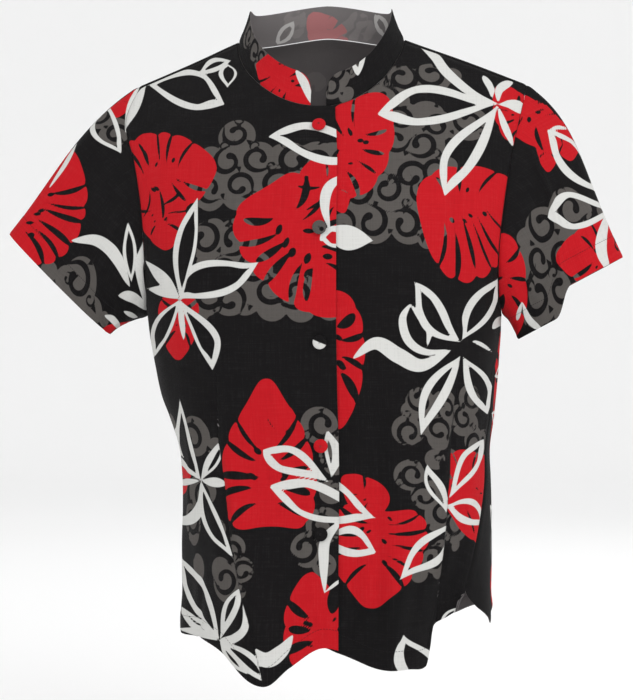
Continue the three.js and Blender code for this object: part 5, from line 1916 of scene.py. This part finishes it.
class BLOUSE_OT_stage(bpy.types.Operator):
    """Makes the camera, the soft lights and the pale floor"""

    bl_idname = "blouse.stage"
    bl_label = "Stage"

    def execute(self, context):
        scene = context.scene
        plan = scene.blouse_stage
        turn = math.radians(VIEW_TURN)
        right = Vector((math.cos(turn), math.sin(turn), 0))
        back = Vector((math.sin(turn), -math.cos(turn), 0))
        aim = Vector((0, 0, VIEW_HEIGHT * MM)) - right * VIEW_ASIDE * MM
        lens = bpy.data.cameras.new("camera")
        lens.lens = plan.lens
        camera = bpy.data.objects.new("camera", lens)
        camera.location = aim + back * VIEW_DISTANCE * MM
        camera.rotation_mode = "QUATERNION"
        camera.rotation_quaternion = (-back).to_track_quat("-Z", "Y")
        scene.collection.objects.link(camera)
        scene.camera = camera

        low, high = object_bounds()
        floor_z = low.z - plan.floor_drop
        round_floor(floor_z)
        centre = (low + high) / 2
        lamps = (  # name, place from the middle of the blouse, size, power
            ("key", (1.5, -2.2, 1.5), 1.5, plan.key),
            ("fill", (-2.0, -2.0, 0.4), 2.0, plan.fill),
            ("rim", (0.6, 2.4, 1.6), 1.6, plan.fill),
        )
        for name, place, size, power in lamps:
            light = bpy.data.lights.new(name, "AREA")
            light.energy, light.size = power, size
            lamp = bpy.data.objects.new(name, light)
            lamp.location = centre + Vector(place)
            lamp.rotation_mode = "QUATERNION"
            lamp.rotation_quaternion = (-Vector(place)).to_track_quat("-Z", "Y")
            scene.collection.objects.link(lamp)
        world = bpy.data.worlds.new("room")
        world.use_nodes = True
        sky = world.node_tree.nodes["Background"]
        sky.inputs["Color"].default_value = (1, 1, 1, 1)
        sky.inputs["Strength"].default_value = plan.sky
        scene.world = world
        scene.view_settings.view_transform = "Standard"
        return {"FINISHED"}


def round_floor(floor_z, flat=5.0, bend=1.5, wall=3.2, turns=96):
    """A wide, plain, pale floor that curves up into a wall all round."""
    curve = np.radians(np.arange(0, 91, 9))
    outline = [(2.0, 0.0), *zip(flat + bend * np.sin(curve), bend * (1 - np.cos(curve))), (flat + bend, wall)]
    points = [(0, 0, floor_z)]
    for ring, rise in outline:
        points += [(ring * math.cos(a), ring * math.sin(a), floor_z + rise)
                   for a in np.arange(turns) * 2 * math.pi / turns]
    faces = [(0, 1 + k, 1 + (k + 1) % turns) for k in range(turns)]
    for ring in range(len(outline) - 1):
        a, b = 1 + ring * turns, 1 + (ring + 1) * turns
        faces += [(a + (k + 1) % turns, a + k, b + k, b + (k + 1) % turns) for k in range(turns)]
    mesh = bpy.data.meshes.new("floor")
    mesh.from_pydata(points, [], faces)
    mesh.polygons.foreach_set("use_smooth", np.ones(len(faces), bool))
    shader = Shader("pale_floor")
    place = shader.value("ShaderNodeTexCoord", None, None, output="Object")
    cloudy = shader.noise(place, 0.7, 1.0)
    colour = shader.blend(cloudy, (0.92, 0.92, 0.92, 1), (0.94, 0.94, 0.94, 1))
    mesh.materials.append(shader.finish(colour, 0.8 + cloudy * 0.1, cloudy, 0.0001, 0.0))
    floor = bpy.data.objects.new("floor", mesh)
    bpy.context.scene.collection.objects.link(floor)
    floor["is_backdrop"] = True


OPERATORS = (
    BLOUSE_OT_fronts,
    BLOUSE_OT_back,
    BLOUSE_OT_sleeves,
    BLOUSE_OT_collar,
    BLOUSE_OT_buttons,
    BLOUSE_OT_stage,
)
GROUPS = dict(blouse_cloth=BlouseCloth, blouse_buttons=BlouseButtons, blouse_stage=BlouseStage)


class BLOUSE_PT_panel(bpy.types.Panel):
    bl_idname = "BLOUSE_PT_panel"
    bl_label = "Blouse"
    bl_space_type = "VIEW_3D"
    bl_region_type = "UI"
    bl_category = "Blouse"

    def draw(self, context):
        for name in GROUPS:
            box = self.layout.box()
            group = getattr(context.scene, name)
            for prop in group.__annotations__:
                box.prop(group, prop)
        for operator in OPERATORS:
            self.layout.operator(operator.bl_idname)


def register():
    for group in (*GROUPS.values(), *OPERATORS, BLOUSE_PT_panel):
        bpy.utils.register_class(group)
    for name, group in GROUPS.items():
        setattr(bpy.types.Scene, name, PointerProperty(type=group))


def unregister():
    for name in GROUPS:
        delattr(bpy.types.Scene, name)
    for group in (BLOUSE_PT_panel, *OPERATORS[::-1], *GROUPS.values()):
        bpy.utils.unregister_class(group)


def main():
    register()
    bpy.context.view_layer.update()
    for operator in OPERATORS:
        area, name = operator.bl_idname.split(".")
        getattr(getattr(bpy.ops, area), name)()


if __name__ == "__main__":
    main()
